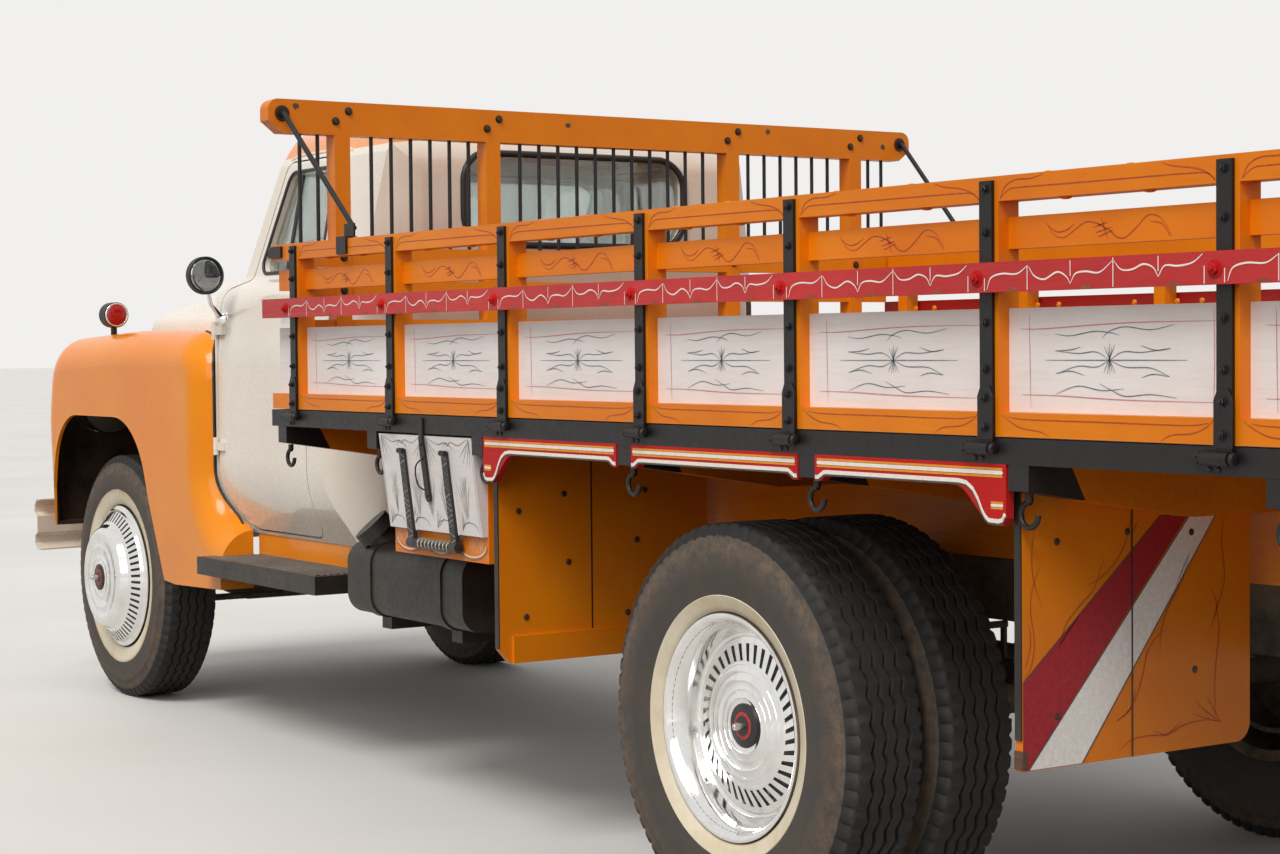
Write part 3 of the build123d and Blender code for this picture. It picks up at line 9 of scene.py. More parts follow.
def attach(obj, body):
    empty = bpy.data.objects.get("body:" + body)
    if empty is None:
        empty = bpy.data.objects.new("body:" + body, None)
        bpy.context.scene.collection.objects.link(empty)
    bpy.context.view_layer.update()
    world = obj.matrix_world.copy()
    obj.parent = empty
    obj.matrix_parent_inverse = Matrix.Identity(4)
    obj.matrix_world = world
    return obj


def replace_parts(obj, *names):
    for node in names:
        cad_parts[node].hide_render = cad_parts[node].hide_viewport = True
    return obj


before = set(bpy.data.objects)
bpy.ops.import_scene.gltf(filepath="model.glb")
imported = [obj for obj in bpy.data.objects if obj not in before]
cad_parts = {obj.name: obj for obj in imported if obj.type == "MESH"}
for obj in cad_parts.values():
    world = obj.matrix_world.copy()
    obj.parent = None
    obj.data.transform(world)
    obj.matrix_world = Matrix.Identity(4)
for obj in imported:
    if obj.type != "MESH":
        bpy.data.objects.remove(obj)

random.seed(7)
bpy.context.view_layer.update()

# stations are metres ahead of the rear axle
rearAxleX, wheelbase, axleHeight = -1.4835, 4.430, 0.472
frontAxleX = rearAxleX + wheelbase
sides = (("left", 1), ("right", -1))
chassis = "chassis"
skyward = (0, 0, 1)


def at(station):
    return rearAxleX + station


def colour(code):  # a six-digit web colour as linear values
    parts = [int(code[i:i + 2], 16) / 255 for i in (0, 2, 4)]
    return tuple(p / 12.92 if p <= 0.04045 else ((p + 0.055) / 1.055) ** 2.4 for p in parts) + (1,)


# node trees: put makes a node, feed gives its inputs a value or another node's output
def put(tree, kind, **settings):
    made = tree.nodes.new("ShaderNode" + kind)
    for key, value in settings.items():
        setattr(made, key, value)
    return made


def feed(tree, node, values):
    for key, value in values.items():
        if isinstance(value, bpy.types.NodeSocket):
            tree.links.new(value, node.inputs[key])
        elif value is not None:
            node.inputs[key].default_value = value
    return node


def calc(tree, operation, a, b=0.0, clamp=False):
    return feed(tree, put(tree, "Math", operation=operation, use_clamp=clamp), {0: a, 1: b}).outputs[0]


def times(tree, a, b, clamp=False):
    return calc(tree, "MULTIPLY", a, b, clamp)


def beyond(tree, value, limit):
    return calc(tree, "GREATER_THAN", value, limit)


def axes(tree, vector=None):  # the X, Y and Z of a vector, or of the place in the frame
    vector = vector or put(tree, "TexCoord").outputs["Object"]
    return feed(tree, put(tree, "SeparateXYZ"), {0: vector}).outputs


def noise(tree, scale, detail, rough, stretch=(1, 1, 1)):
    place = feed(tree, put(tree, "Mapping"), {"Vector": put(tree, "TexCoord").outputs["Object"],
                                              "Scale": stretch})
    made = put(tree, "TexNoise")
    feed(tree, made, {"Scale": scale, "Detail": detail, "Roughness": rough, "Vector": place.outputs[0]})
    return made.outputs["Fac"]


def ramp(tree, factor, *stops):
    made = feed(tree, put(tree, "ValToRGB"), {0: factor})
    for _ in stops[2:]:
        made.color_ramp.elements.new(0.5)
    for stop, (position, value) in zip(made.color_ramp.elements, stops):
        stop.position = position
        stop.color = value if isinstance(value, tuple) else (value, value, value, 1)
    return made.outputs[0]


def blendColour(tree, factor, a, b, kind="MIX"):
    return feed(tree, put(tree, "Mix", data_type="RGBA", blend_type=kind), {0: factor, 6: a, 7: b}).outputs[2]


def bumps(tree, shader, *layers):  # each layer's height, strength and distance, the lowest first
    normal = None
    for height, strength, distance in layers:
        made = put(tree, "Bump")
        feed(tree, made, {"Strength": strength, "Distance": distance, "Height": height, "Normal": normal})
        normal = made.outputs[0]
    feed(tree, shader, {"Normal": normal})


def heightFade(tree, low, high):  # 1 at the low height, 0 at the high one
    values = {0: axes(tree)["Z"], 1: low, 2: high, 3: 1.0, 4: 0.0}
    return feed(tree, put(tree, "MapRange", clamp=True), values).outputs[0]


def paleRays(tree):  # 1 for what the camera sees, straight, mirrored or through glass
    path = put(tree, "LightPath").outputs
    through = calc(tree, "MAXIMUM", path["Is Glossy Ray"], path["Is Transmission Ray"])
    return calc(tree, "MAXIMUM", path["Is Camera Ray"], through)


# camera and light
view = {"lens": 66.68, "sensor": 36, "reach": 200, "place": (-5.8895, 4.288, 1.349),
        "yaw": 33.65, "pitch": -1.94, "roll": -0.53}
studio = {
    "background": "F1F0EE", "floor": "E4E1DC", "floorShade": "DCD8D2", "floorBounce": "6F6B66",
    "floorSize": 220,
    "sky": 0.60, "sun": 1.85, "sunAngle": 24, "sunPlace": (-4, 6, 9), "keyPower": 370, "keySize": 7,
    "keyPlace": (-7, 11.2, 6.3), "keyAim": (0, 0.5, 0.8),
    "skyStops": ((0.0, "B9B0A4"), (0.47, "8C857D"), (0.515, "6E6A66"), (0.56, "C9CCD0"), (0.75, "F6F7F9"),
                 (1.0, "FFFFFF")),
}


def placeCamera(v):
    yaw, pitch, roll = (math.radians(v[k]) for k in ("yaw", "pitch", "roll"))
    ahead = Vector((math.cos(pitch) * math.cos(yaw), -math.cos(pitch) * math.sin(yaw), math.sin(pitch)))
    across = ahead.cross(Vector(skyward)).normalized()
    above = across.cross(ahead)
    right = math.cos(roll) * across + math.sin(roll) * above
    up = -math.sin(roll) * across + math.cos(roll) * above
    data = bpy.data.cameras.new("camera")
    data.lens, data.sensor_width, data.clip_end = v["lens"], v["sensor"], v["reach"]
    camera = bpy.data.objects.new("camera", data)
    camera.matrix_world = Matrix.Translation(v["place"]) @ Matrix((right, up, -ahead)).transposed().to_4x4()
    bpy.context.scene.collection.objects.link(camera)
    bpy.context.scene.camera = camera


def lamp(name, kind, power, place, aim, size):
    data = bpy.data.lights.new(name, kind)
    data.energy = power
    if kind == "SUN":
        data.angle = math.radians(size)
    else:
        data.shape, data.size = "SQUARE", size
    light = bpy.data.objects.new(name, data)
    light.location = place
    light.rotation_euler = (Vector(aim) - Vector(place)).to_track_quat("-Z", "Y").to_euler()
    bpy.context.scene.collection.objects.link(light)


def lightStudio(s):
    world = bpy.data.worlds.new("studioSky")
    bpy.context.scene.world = world
    world.use_nodes = True
    tree = world.node_tree
    tree.nodes.clear()
    height = axes(tree, put(tree, "TexCoord").outputs["Generated"])["Z"]
    lift = calc(tree, "ADD", times(tree, height, 0.5), 0.5)
    band = ramp(tree, lift, *((position, colour(code)) for position, code in s["skyStops"]))
    soft = feed(tree, put(tree, "Background"), {"Color": band, "Strength": s["sky"]})
    pale = feed(tree, put(tree, "Background"), {"Color": colour(s["background"])})
    both = feed(tree, put(tree, "MixShader"), {0: paleRays(tree), 1: soft.outputs[0], 2: pale.outputs[0]})
    feed(tree, put(tree, "OutputWorld"), {0: both.outputs[0]})
    lamp("sunSoft", "SUN", s["sun"], s["sunPlace"], (0, 0, 0), s["sunAngle"])
    lamp("keySide", "AREA", s["keyPower"], s["keyPlace"], s["keyAim"], s["keySize"])


placeCamera(view)
lightStudio(studio)
print("camera and lamps are placed")


def newSheet(name):
    material = bpy.data.materials.new(name)
    material.use_nodes = True
    tree = material.node_tree
    tree.nodes.clear()
    shader = put(tree, "BsdfPrincipled")
    feed(tree, put(tree, "OutputMaterial"), {0: shader.outputs[0]})
    return material, tree, shader


# Paint on metal or wood: two tones, brush or peel marks, chips down to what lies under it, and road dust
paintBase = {
    "toneScale": 2.2, "stretch": (1, 1, 1), "grainScale": 60, "grain": (1, 1, 1), "grainMix": 0.25,
    "grainBump": 0.1,
    "peelScale": 380, "peel": 0.05, "coat": 0.0, "coatRough": 0.06, "specular": 0.5, "chips": 0, "dust": 0,
    "dustTop": 1.2, "dustColour": "A8937A",
}
orangeMetal = {"colour": "F79200", "shade": "F08200", "roughness": (0.22, 0.36), "coat": 0.22,
               "specular": 0.2,
               "peel": 0.035, "grainBump": 0.02, "dust": 0.28, "dustTop": 1.0, "grainMix": 0.1, "chips": 0.74,
               "under": "8A5A20"}
orangeWood = {"colour": "EE8800", "shade": "DC7200", "roughness": (0.34, 0.54), "coat": 0.12,
              "coatRough": 0.22,
              "specular": 0.28, "peel": 0.12, "grain": (0.25, 4, 4), "grainScale": 26, "grainBump": 0.22,
              "grainMix": 0.35, "chips": 0.735, "under": "7A4A22", "dust": 0.05}
creamMetal = {"colour": "F3EADB", "shade": "E9DDCB", "roughness": (0.2, 0.34), "coat": 0.9, "peel": 0.035,
              "grainBump": 0.02, "grainMix": 0.1, "dust": 0.35, "dustTop": 1.0}
whiteWood = {"colour": "F3EDE9", "shade": "E4DBD4", "roughness": (0.42, 0.62), "coat": 0.15, "coatRough": 0.3,
             "peel": 0.16, "grain": (0.3, 4, 4), "grainScale": 30, "grainBump": 0.28, "grainMix": 0.4,
             "chips": 0.76, "under": "B98A5A", "dust": 0.1}
crimsonWood = {"colour": "CC2422", "shade": "B01A1A", "roughness": (0.38, 0.58), "coat": 0.05,
               "coatRough": 0.25,
               "specular": 0.12, "peel": 0.14, "grain": (0.3, 4, 4), "grainScale": 28, "grainBump": 0.2,
               "grainMix": 0.35, "chips": 0.75, "under": "D98A1E", "dust": 0.1}
blackIron = {"colour": "1E1B1B", "shade": "151313", "roughness": (0.36, 0.58), "coat": 0.04, "coatRough": 0.3,
             "specular": 0.32, "peel": 0.25, "peelScale": 240, "grainBump": 0.3, "grainMix": 0.4,
             "chips": 0.74,
             "under": "5A4A3E", "dust": 0.14, "dustTop": 1.15}
chassisBlack = {"colour": "1B1816", "shade": "131110", "specular": 0.25, "roughness": (0.5, 0.75),
                "peel": 0.25,
                "peelScale": 200, "grainBump": 0.5, "grainMix": 0.5, "chips": 0.66, "under": "5B3A26",
                "dust": 0.75, "dustTop": 1.3}
deckWood = {"colour": "9A7A55", "shade": "6B4F35", "roughness": (0.6, 0.85), "peel": 0.2,
            "grain": (0.12, 6, 6), "grainScale": 22, "grainBump": 0.8, "grainMix": 0.9,
            "chips": 0.7, "under": "4A3726", "toneScale": 5,
            "stretch": (0.4, 3, 1)}
castIron = {"colour": "4A443F", "shade": "332E2B", "roughness": (0.6, 0.85), "peel": 0.5, "peelScale": 160,
            "grainBump": 0.7, "grainMix": 0.6, "chips": 0.64, "under": "6B4630", "dust": 0.8, "dustTop": 1.2}


def chipped(tree, tone, limit, under):
    mark = ramp(tree, noise(tree, 26, 8, 0.72), (limit, 0.0), (limit + 0.012, 1.0))
    return blendColour(tree, mark, tone, colour(under))


def twoTones(tree, s, slow):
    return blendColour(tree, slow, colour(s["colour"]), colour(s["shade"]))


def coatPaint(tree, shader, s, tone, fine):  # chips, dust, gloss and relief over the tones
    if s["chips"]:
        tone = chipped(tree, tone, s["chips"], s["under"])
    if s["dust"]:
        low = times(tree, heightFade(tree, 0.25, s["dustTop"]), s["dust"])
        cloud = ramp(tree, noise(tree, 5.5, 7, 0.7), (0.35, 0.15), (0.65, 1.0))
        tone = blendColour(tree, times(tree, low, cloud, clamp=True), tone, colour(s["dustColour"]))
    matt, gloss = s["roughness"]
    feed(tree, shader, {"Base Color": tone, "Roughness": ramp(tree, fine, (0.3, matt), (0.75, gloss)),
                        "Coat Weight": s["coat"], "Coat Roughness": s["coatRough"],
                        "Specular IOR Level": s["specular"]})
    bumps(tree, shader, (noise(tree, s["peelScale"], 2, 0.5), s["peel"], 0.001),
          (fine, s["grainBump"], 0.002))


def paintFinish(name, look):
    material, tree, shader = newSheet(name)
    s = {**paintBase, **look}
    slow = ramp(tree, noise(tree, s["toneScale"], 5, 0.6, s["stretch"]), (0.3, 0.0), (0.72, 1.0))
    fine = noise(tree, s["grainScale"], 6, 0.65, s["grain"])
    grain = ramp(tree, fine, (0.35, 0.0), (0.75, s["grainMix"]))
    coatPaint(tree, shader, s, blendColour(tree, grain, twoTones(tree, s, slow), colour(s["shade"])), fine)
    return material


def twoToneFinish(name, first, second, test):  # a paint that changes colour where a test on the place says so
    material, tree, shader = newSheet(name)
    s = {**paintBase, **first}
    fine = noise(tree, s["grainScale"], 6, 0.65, s["grain"])
    slow = ramp(tree, noise(tree, 2.2, 5, 0.6), (0.3, 0.0), (0.72, 1.0))
    tone = blendColour(tree, test(tree, axes(tree)), twoTones(tree, s, slow), twoTones(tree, second, slow))
    grain = ramp(tree, fine, (0.4, 0.0), (0.8, 0.3))
    coatPaint(tree, shader, s, blendColour(tree, grain, tone, colour(s["shade"]), "MULTIPLY"), fine)
    finishes[name] = material
    return material


# Worn rubber: grey-brown dust in the hollows and pale scuffs; the white band has its own dirt
def rubberFinish(name, s):
    material, tree, shader = newSheet(name)
    cloud = noise(tree, 7, 8, 0.72)
    tone = blendColour(tree, ramp(tree, cloud, (0.38, 0.0), (0.68, 1.0)), colour(s["colour"]),
                       colour(s["dusty"]))
    radius, turn = (put(tree, "Attribute", attribute_name=n).outputs["Fac"] for n in ("ringRadius",
        "ringTurn"))
    low, middle, high = s["band"]
    band = ramp(tree, radius, (low, 0.0), (middle, 1.0), (high, 0.0))
    brown = times(tree, band, ramp(tree, noise(tree, 34, 6, 0.7), (0.36, 0.0), (0.66, 0.9)))
    feed(tree, shader, {"Base Color": blendColour(tree, brown, tone, colour(s["mud"])),
                        "Roughness": ramp(tree, cloud, (0.3, 0.62), (0.7, 0.9))})
    layers = [(noise(tree, 240, 4, 0.7), 0.35, 0.001)]
    if s.get("serrations"):
        wave = calc(tree, "SINE", times(tree, turn, s["serrations"] * 2 * math.pi))
        rings = calc(tree, "SINE", times(tree, radius, 900.0))
        edge = times(tree, beyond(tree, rings, 0.93), 0.35)
        cut = times(tree, beyond(tree, wave, 0.86), band)
        layers.append((calc(tree, "SUBTRACT", edge, cut), 0.55, 0.003))
    bumps(tree, shader, *layers)
    return material


def hazed(tree, factor, s):
    clear, dull = s["roughness"]
    return ramp(tree, factor, (0.35, clear), (0.75, dull))


# Plated steel, dulled where it is handled or dusty
def chromeFinish(name, s):
    material, tree, shader = newSheet(name)
    smear, rust = noise(tree, 16, 6, 0.7), noise(tree, 48, 7, 0.75)
    tone = blendColour(tree, ramp(tree, smear, (0.4, 0.0), (0.75, 0.5)), colour(s["colour"]),
                       colour(s["dull"]))
    tone = blendColour(tree, ramp(tree, rust, (0.66, 0.0), (0.72, s["rust"])), tone, colour("7B5A3C"))
    feed(tree, shader, {"Base Color": tone, "Metallic": 1.0, "Roughness": hazed(tree, smear, s)})
    bumps(tree, shader, (noise(tree, 120, 3, 0.6), 0.04, 0.001))
    return material


def glassFinish(name, s):
    material, tree, shader = newSheet(name)
    haze = noise(tree, 9, 6, 0.65)
    feed(tree, shader, {"Base Color": colour(s["colour"]), "Transmission Weight": s["clear"], "IOR": 1.45,
                        "Roughness": hazed(tree, haze, s), "Alpha": s.get("alpha", 1.0)})
    bumps(tree, shader, (haze, 0.03, 0.002))
    return material


# Flat brush colour for painted lines, thinner and thicker along the stroke
def brushFinish(name, codes):
    material, tree, shader = newSheet(name)
    drag = noise(tree, 90, 5, 0.7)
    tone = blendColour(tree, ramp(tree, drag, (0.35, 0.0), (0.72, 1.0)), *(colour(code) for code in codes))
    feed(tree, shader, {"Base Color": tone, "Roughness": ramp(tree, drag, (0.3, 0.38), (0.7, 0.58))})
    bumps(tree, shader, (drag, 0.1, 0.0006))
    return material


finishes = {name: make(name, look) for make, looks in (
    (paintFinish, {
        "orangeBoards": orangeWood, "creamGloss": creamMetal, "orangeGloss": orangeMetal,
        "whiteBoards": whiteWood, "crimsonBoards": crimsonWood, "blackIron": blackIron,
        "chassisBlack": chassisBlack, "deckPlanks": deckWood, "castIron": castIron,
        "redIron": {**crimsonWood, "roughness": (0.3, 0.45), "grain": (1, 1, 1), "grainBump": 0.1},
        "rawWood": {**deckWood, "colour": "6E4C34", "shade": "4A3324", "stretch": (1, 1, 0.4)},
        "darkBolt": {**blackIron, "colour": "4A2C14", "shade": "2E1B0E"},
        "seatHide": {"colour": "6A3A26", "shade": "4C2818", "roughness": (0.45, 0.65), "peel": 0.5,
                     "peelScale": 150, "grainBump": 0.3, "grainMix": 0.4},
        "ivoryPlastic": {"colour": "E9DFC4", "shade": "D8CBA8", "roughness": (0.25, 0.4), "coat": 0.5,
                         "grainBump": 0.04},
        "stepRubber": {"colour": "6E655F", "shade": "4A4440", "roughness": (0.6, 0.85), "peel": 0.3,
                       "peelScale": 260, "grainBump": 0.4, "grainMix": 0.6, "dust": 0.5, "dustTop": 0.9},
    }),
    (rubberFinish, {
        "whiteBand": {"colour": "E8DCC4", "dusty": "D8C6A4", "mud": "B48E60", "band": (0.325, 0.336, 0.345)},
        "sideRubber": {"colour": "3A3735", "dusty": "54493F", "mud": "73604C", "band": (0.36, 0.425, 0.468),
                       "serrations": 72},
        # the tread's near-black, darker than the side rubber, is the rubber's own black with painted shade in it
        "treadRubber": {"colour": "151413", "dusty": "221F1D", "mud": "3A332C",
                        "band": (0.455, 0.466, 0.474)},
    }),
    (chromeFinish, {
        "brightChrome": {"colour": "EDEDEC", "dull": "C9C4BC", "rust": 0.35, "roughness": (0.04, 0.2)},
        "dullChrome": {"colour": "C8C4BD", "dull": "9C958A", "rust": 0.6, "roughness": (0.16, 0.42)},
        "silveredGlass": {"colour": "8E9296", "dull": "6E7276", "rust": 0.0, "roughness": (0.03, 0.10)},
    }),
    (glassFinish, {
        "windowGlass": {"colour": "BFCBC6", "clear": 0.94, "roughness": (0.01, 0.08), "alpha": 0.55},
        "redGlass": {"colour": "C3151B", "clear": 0.35, "roughness": (0.06, 0.2)},
        "amberGlass": {"colour": "F08A1C", "clear": 0.35, "roughness": (0.06, 0.2)},
        "clearLens": {"colour": "F2F4F2", "clear": 0.5, "roughness": (0.03, 0.12)},
    }),
    (brushFinish, {
        "lineMaroon": ("9A2A1C", "C65A1E"), "lineWhite": ("F7EFE4", "EBD9CB"),
        "linePink": ("C4606A", "DDA3A2"), "lineBlue": ("44525F", "8E979F"), "lineBlack": ("2A2623", "5C544E"),
        "lineOrange": ("F19A22", "E0861A"), "lineCream": ("EFE6CE", "DCCFB0"),
        # near-black for hubcap slots and board seams: painted shade standing in for the dark inside of each gap
        "lineCrimson": ("A81522", "8E0E1B"), "gapBlack": ("0C0B0B", "15130F"),
        "gasketRubber": ("1C1B1B", "2B2926"), "plainRed": ("C23A30", "9A2620"),
        "lineKnot": ("8A3420", "A0502A"), "stripeWhite": ("FAF5F0", "E6DCD4"),
        "lineSoot": ("4A4744", "8D8884"), "lineAsh": ("9A958F", "C8C2BB"), "knotBrown": ("3A2A1E", "6B4A2E"),
    }),
) for name, look in looks.items()}
print("paints are mixed:", len(finishes))


def keep(piece, body):
    bpy.context.scene.collection.objects.link(piece)
    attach(piece, body)
    return piece


def addPiece(name, bm, body, materials, smooth=False, outward=False):
    if outward:
        bmesh.ops.recalc_face_normals(bm, faces=bm.faces)
    mesh = bpy.data.meshes.new(name)
    bm.normal_update()
    bm.to_mesh(mesh)
    bm.free()
    for key in materials:
        mesh.materials.append(finishes[key])
    if smooth:
        mesh.shade_smooth()
    return keep(bpy.data.objects.new(name, mesh), body)


def addTube(name, lines, radius, body, material, closed=False, smooth=True):
    data = bpy.data.curves.new(name, "CURVE")
    data.dimensions, data.bevel_depth, data.bevel_resolution, data.use_fill_caps = "3D", radius, 3, True
    data.resolution_u = 8
    for points in lines:
        spline = data.splines.new("NURBS" if smooth and len(points) > 2 else "POLY")
        spline.points.add(len(points) - 1)
        for target, point in zip(spline.points, points):
            target.co = (*point, 1)
        spline.use_cyclic_u = closed
        if spline.type == "NURBS":
            spline.order_u = 3
            spline.use_endpoint_u = not closed
    data.materials.append(finishes[material])
    return keep(bpy.data.objects.new(name, data), body)


def crisp(piece, degrees):
    piece.modifiers.new("crispEdges", "EDGE_SPLIT").split_angle = math.radians(degrees)


def boxInto(bm, low, high, material, bevel):
    v = [bm.verts.new((x, y, z)) for x in (low[0], high[0]) for y in (low[1], high[1]) for z in (low[2],
        high[2])]
    rings = ((0, 1, 3, 2), (4, 6, 7, 5), (0, 4, 5, 1), (2, 3, 7, 6), (0, 2, 6, 4), (1, 5, 7, 3))
    made = [bm.faces.new([v[i] for i in ring]) for ring in rings]
    for face in made:
        face.material_index = material
    bmesh.ops.recalc_face_normals(bm, faces=made)
    edges = list(dict.fromkeys(e for f in made for e in f.edges))
    rounded = bmesh.ops.bevel(bm, geom=edges, offset=bevel, segments=2, affect="EDGES", profile=0.6)
    for face in rounded["faces"]:
        face.material_index = material


def sweepInto(bm, rings, material=0, closed=True):  # faces between rings of points, each next to the last
    for low, high in zip(rings, rings[1:]):
        for i in range(len(low) if closed else len(low) - 1):
            j = (i + 1) % len(low)
            bm.faces.new((low[i], low[j], high[j], high[i])).material_index = material


# steps are (radius, height) from the foot up
def studInto(bm, place, direction, steps, count=8, material=0, spin=0.0):
    turn = Vector(skyward).rotation_difference(Vector(direction).normalized()).to_matrix().to_4x4()
    turn = Matrix.Translation(place) @ turn
    rings = []
    for radius, height in steps:
        angles = [spin + 2 * math.pi * i / count for i in range(count)]
        rings.append([bm.verts.new(turn @ Vector((radius * math.cos(a), radius * math.sin(a),
                                                  height))) for a in angles])
    sweepInto(bm, rings, material)
    bm.faces.new(rings[-1]).material_index = material


def domeHead(radius, height):
    return ((radius, 0), (radius, height * 0.4), (radius * 0.8, height * 0.78), (radius * 0.4, height))


def smoothLine(points, parts=6):  # a flowing line through the given points
    ends = [2 * Vector(points[0]) - Vector(points[1])] + [Vector(p) for p in points]
    ends.append(2 * ends[-1] - ends[-2])
    line = []
    for a, b, c, d in zip(ends, ends[1:], ends[2:], ends[3:]):
        for k in range(parts):
            t = k / parts
            line.append(0.5 * (2 * b + (c - a) * t + (2 * a - 5 * b + 4 * c - d) * t * t
                               + (3 * b - a - 3 * c + d) * t ** 3))
    line.append(ends[-2])
    return line


def arch(middle, height, wide, tall, first=0, parts=8):  # half an ellipse from the angle first, in half turns
    angles = [math.pi * (first + k / parts) for k in range(parts + 1)]
    return [(middle + wide * math.cos(a), height + tall * math.sin(a)) for a in angles]


class Board:  # a flat face that gets painted: u runs along it, v up it
    def __init__(self, origin, across, up, out=None, lift=0.0007):
        self.origin = Vector(origin)
        self.across, self.up = Vector(across).normalized(), Vector(up).normalized()
        self.out = Vector(out).normalized() if out else self.across.cross(self.up).normalized()
        self.lift = lift

    def spot(self, u, v, extra=0.0):
        return self.origin + self.across * u + self.up * v + self.out * (self.lift + extra)

    def lifted(self, lift):
        return Board(self.origin, self.across, self.up, self.out, lift)


def faceOut(board, face, material):
    face.material_index = material
    face.normal_update()
    if face.normal.dot(board.out) < 0:
        face.normal_flip()


def brushInto(bm, board, points, width, material=0, taper=True, straight=False):
    line = [Vector(p) for p in points] if straight else smoothLine(points)
    last = len(line) - 1
    pairs = []
    for i, point in enumerate(line):
        along = (line[min(i + 1, last)] - line[max(i - 1, 0)]).normalized()
        share = min(max(i / last, 0.02), 0.98)
        swell = 0.35 + 0.65 * math.sin(math.pi * share) if taper else 1.0
        half = Vector((-along.y, along.x)) * width * swell / 2
        pairs.append([bm.verts.new(board.spot(*(point + s * half))) for s in (-1, 1)])
    for (a, b), (c, d) in zip(pairs, pairs[1:]):
        faceOut(board, bm.faces.new((a, c, d, b)), material)


def patchInto(bm, board, points, material=0):
    faceOut(board, bm.faces.new([bm.verts.new(board.spot(u, v)) for u, v in points]), material)


# finishes on the carried-over nodes, with their edges eased by the given radius
nodeFinishes = (
    ("chassisBlack", (("frame_rails", 0.003), ("leaf_springs", 0.001), ("drive_shaft", 0.002),
                      ("radiator", 0.004),
                      ("tie_rod", 0.001))),
    ("castIron", (("front_axle_beam", 0.004), ("rear_axle_housing", 0.004), ("engine_block", 0.006),
                  ("knuckle_left", 0.002), ("knuckle_right", 0.002))),
    ("windowGlass", (("cab_glass", 0), ("door_glass_left", 0), ("door_glass_right", 0))),
    ("ivoryPlastic", (("steering_wheel", 0),)),
    ("orangeGloss", (("sill_panels", 0.001),)),
    ("creamGloss", (("nose_panel", 0.004), ("front_bumper", 0.001), ("door_left", 0.002),
                    ("door_right", 0.002), ("hood", 0.003))),
    ("brightChrome", (("grille_bars", 0.004), ("headlamps", 0.002))),
    ("blackIron", (("running_boards", 0.006), ("fuel_tank", 0.0015), ("bed_rim", 0.003),
                   ("gate_hinges", 0.001), ("headboard_rods", 0), ("rope_hooks", 0), ("gate_left_irons", 0.0015),
                   ("gate_right_irons", 0.0015), ("tailgate_irons", 0.0015), ("mirror_left", 0.001),
                   ("mirror_right", 0.001), ("marker_lamps", 0.002), ("tail_lamps", 0.002))),
    ("deckPlanks", (("bed_floor", 0.002),)),
    ("crimsonBoards", (("valance_boards", 0.002),)),
    ("whiteBoards", (("tool_box_lid", 0.003),)),
    ("orangeBoards", (("headboard_frame", 0.005), ("wheel_boards", 0.002), ("tool_box", 0.003),
                      ("gate_left_frame", 0.005), ("gate_right_frame", 0.005), ("tailgate_frame", 0.005))),
)


def dress(node, material, ease=0.0):
    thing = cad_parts[node]
    thing.data.materials.clear()
    thing.data.materials.append(material)
    if ease:
        soft = thing.modifiers.new("easedEdges", "BEVEL")
        soft.width, soft.segments, soft.limit_method, soft.angle_limit = ease, 2, "ANGLE", math.radians(38)
        soft.use_clamp_overlap = True
        soft.harden_normals = False


for finish, nodes in nodeFinishes:
    for node, ease in nodes:
        dress(node, finishes[finish], ease)


def crossbeamTips(tree, place):  # black out to the tip, with a slanting edge
    slant, edgeY, edgeZ = 0.55, 1.095, 1.118
    reach = calc(tree, "ABSOLUTE", place["Y"])
    return beyond(tree, calc(tree, "ADD", reach, times(tree, place["Z"], -slant)), edgeY - slant * edgeZ)


def outerRail(tree, place):
    return beyond(tree, calc(tree, "ABSOLUTE", place["Y"]), 1.2128)


def rearRail(tree, place):
    return calc(tree, "LESS_THAN", place["X"], at(-2.243) - 0.0078)


def roofCap(tree, place):  # the orange roof, whose edge dips towards the back corners
    reach = times(tree, calc(tree, "ABSOLUTE", place["Y"]), 0.10)
    return beyond(tree, calc(tree, "ADD", place["Z"], reach), 2.085)


bodyCream = {**creamMetal, "chips": 0.76, "under": "8A5A20"}
dress("bed_subframe", twoToneFinish("orangeBlackTips", orangeWood, blackIron, crossbeamTips), 0.003)
dress("gate_left_boards", twoToneFinish("whiteAndRedRail", whiteWood, crimsonWood, outerRail), 0.003)
dress("gate_right_boards", finishes["whiteAndRedRail"], 0.003)
dress("tailgate_boards", twoToneFinish("whiteAndRedRear", whiteWood, crimsonWood, rearRail), 0.003)
dress("cab_shell", twoToneFinish("creamOrangeRoof", bodyCream, orangeMetal, roofCap), 0.002)
print("carried-over nodes are dressed")


# tyres: cut tread, shoulder lugs and the white band
tyreLook = {
    "around": 288, "lugEvery": 4, "lugDepth": 0.007, "grooves": (-0.048, -0.016, 0.016, 0.048),
    "grooveHalf": 0.0045, "treadRadius": 0.4718, "shoulder": 0.432,
    "grooveDepth": 0.010, "zigzag": 0.0055, "zigzags": 48,
}
# radius and reach from the tyre's middle, up to the white band, then from it to the tread's edge
beadSide = ((0.2462, 0.0862), (0.2660, 0.0882), (0.2665, 0.0895))
bandFront = ((0.2800, 0.0947), (0.2820, 0.0972), (0.3020, 0.1048), (0.3240, 0.1104), (0.3365, 0.1128),
             (0.3380, 0.1117))
bandRear = ((0.2668, 0.0900), (0.2685, 0.0922), (0.2800, 0.0968), (0.2930, 0.1018), (0.3045, 0.1056),
            (0.3060, 0.1044))
outerSide = ((0.3500, 0.1132), (0.3620, 0.1141), (0.3750, 0.1145), (0.3900, 0.1138), (0.4000, 0.1131),
             (0.4120, 0.1114), (0.4135, 0.1098), (0.4300, 0.1070), (0.4430, 0.1036), (0.4560, 0.0975),
             (0.4660, 0.0910), (0.4715, 0.0848))


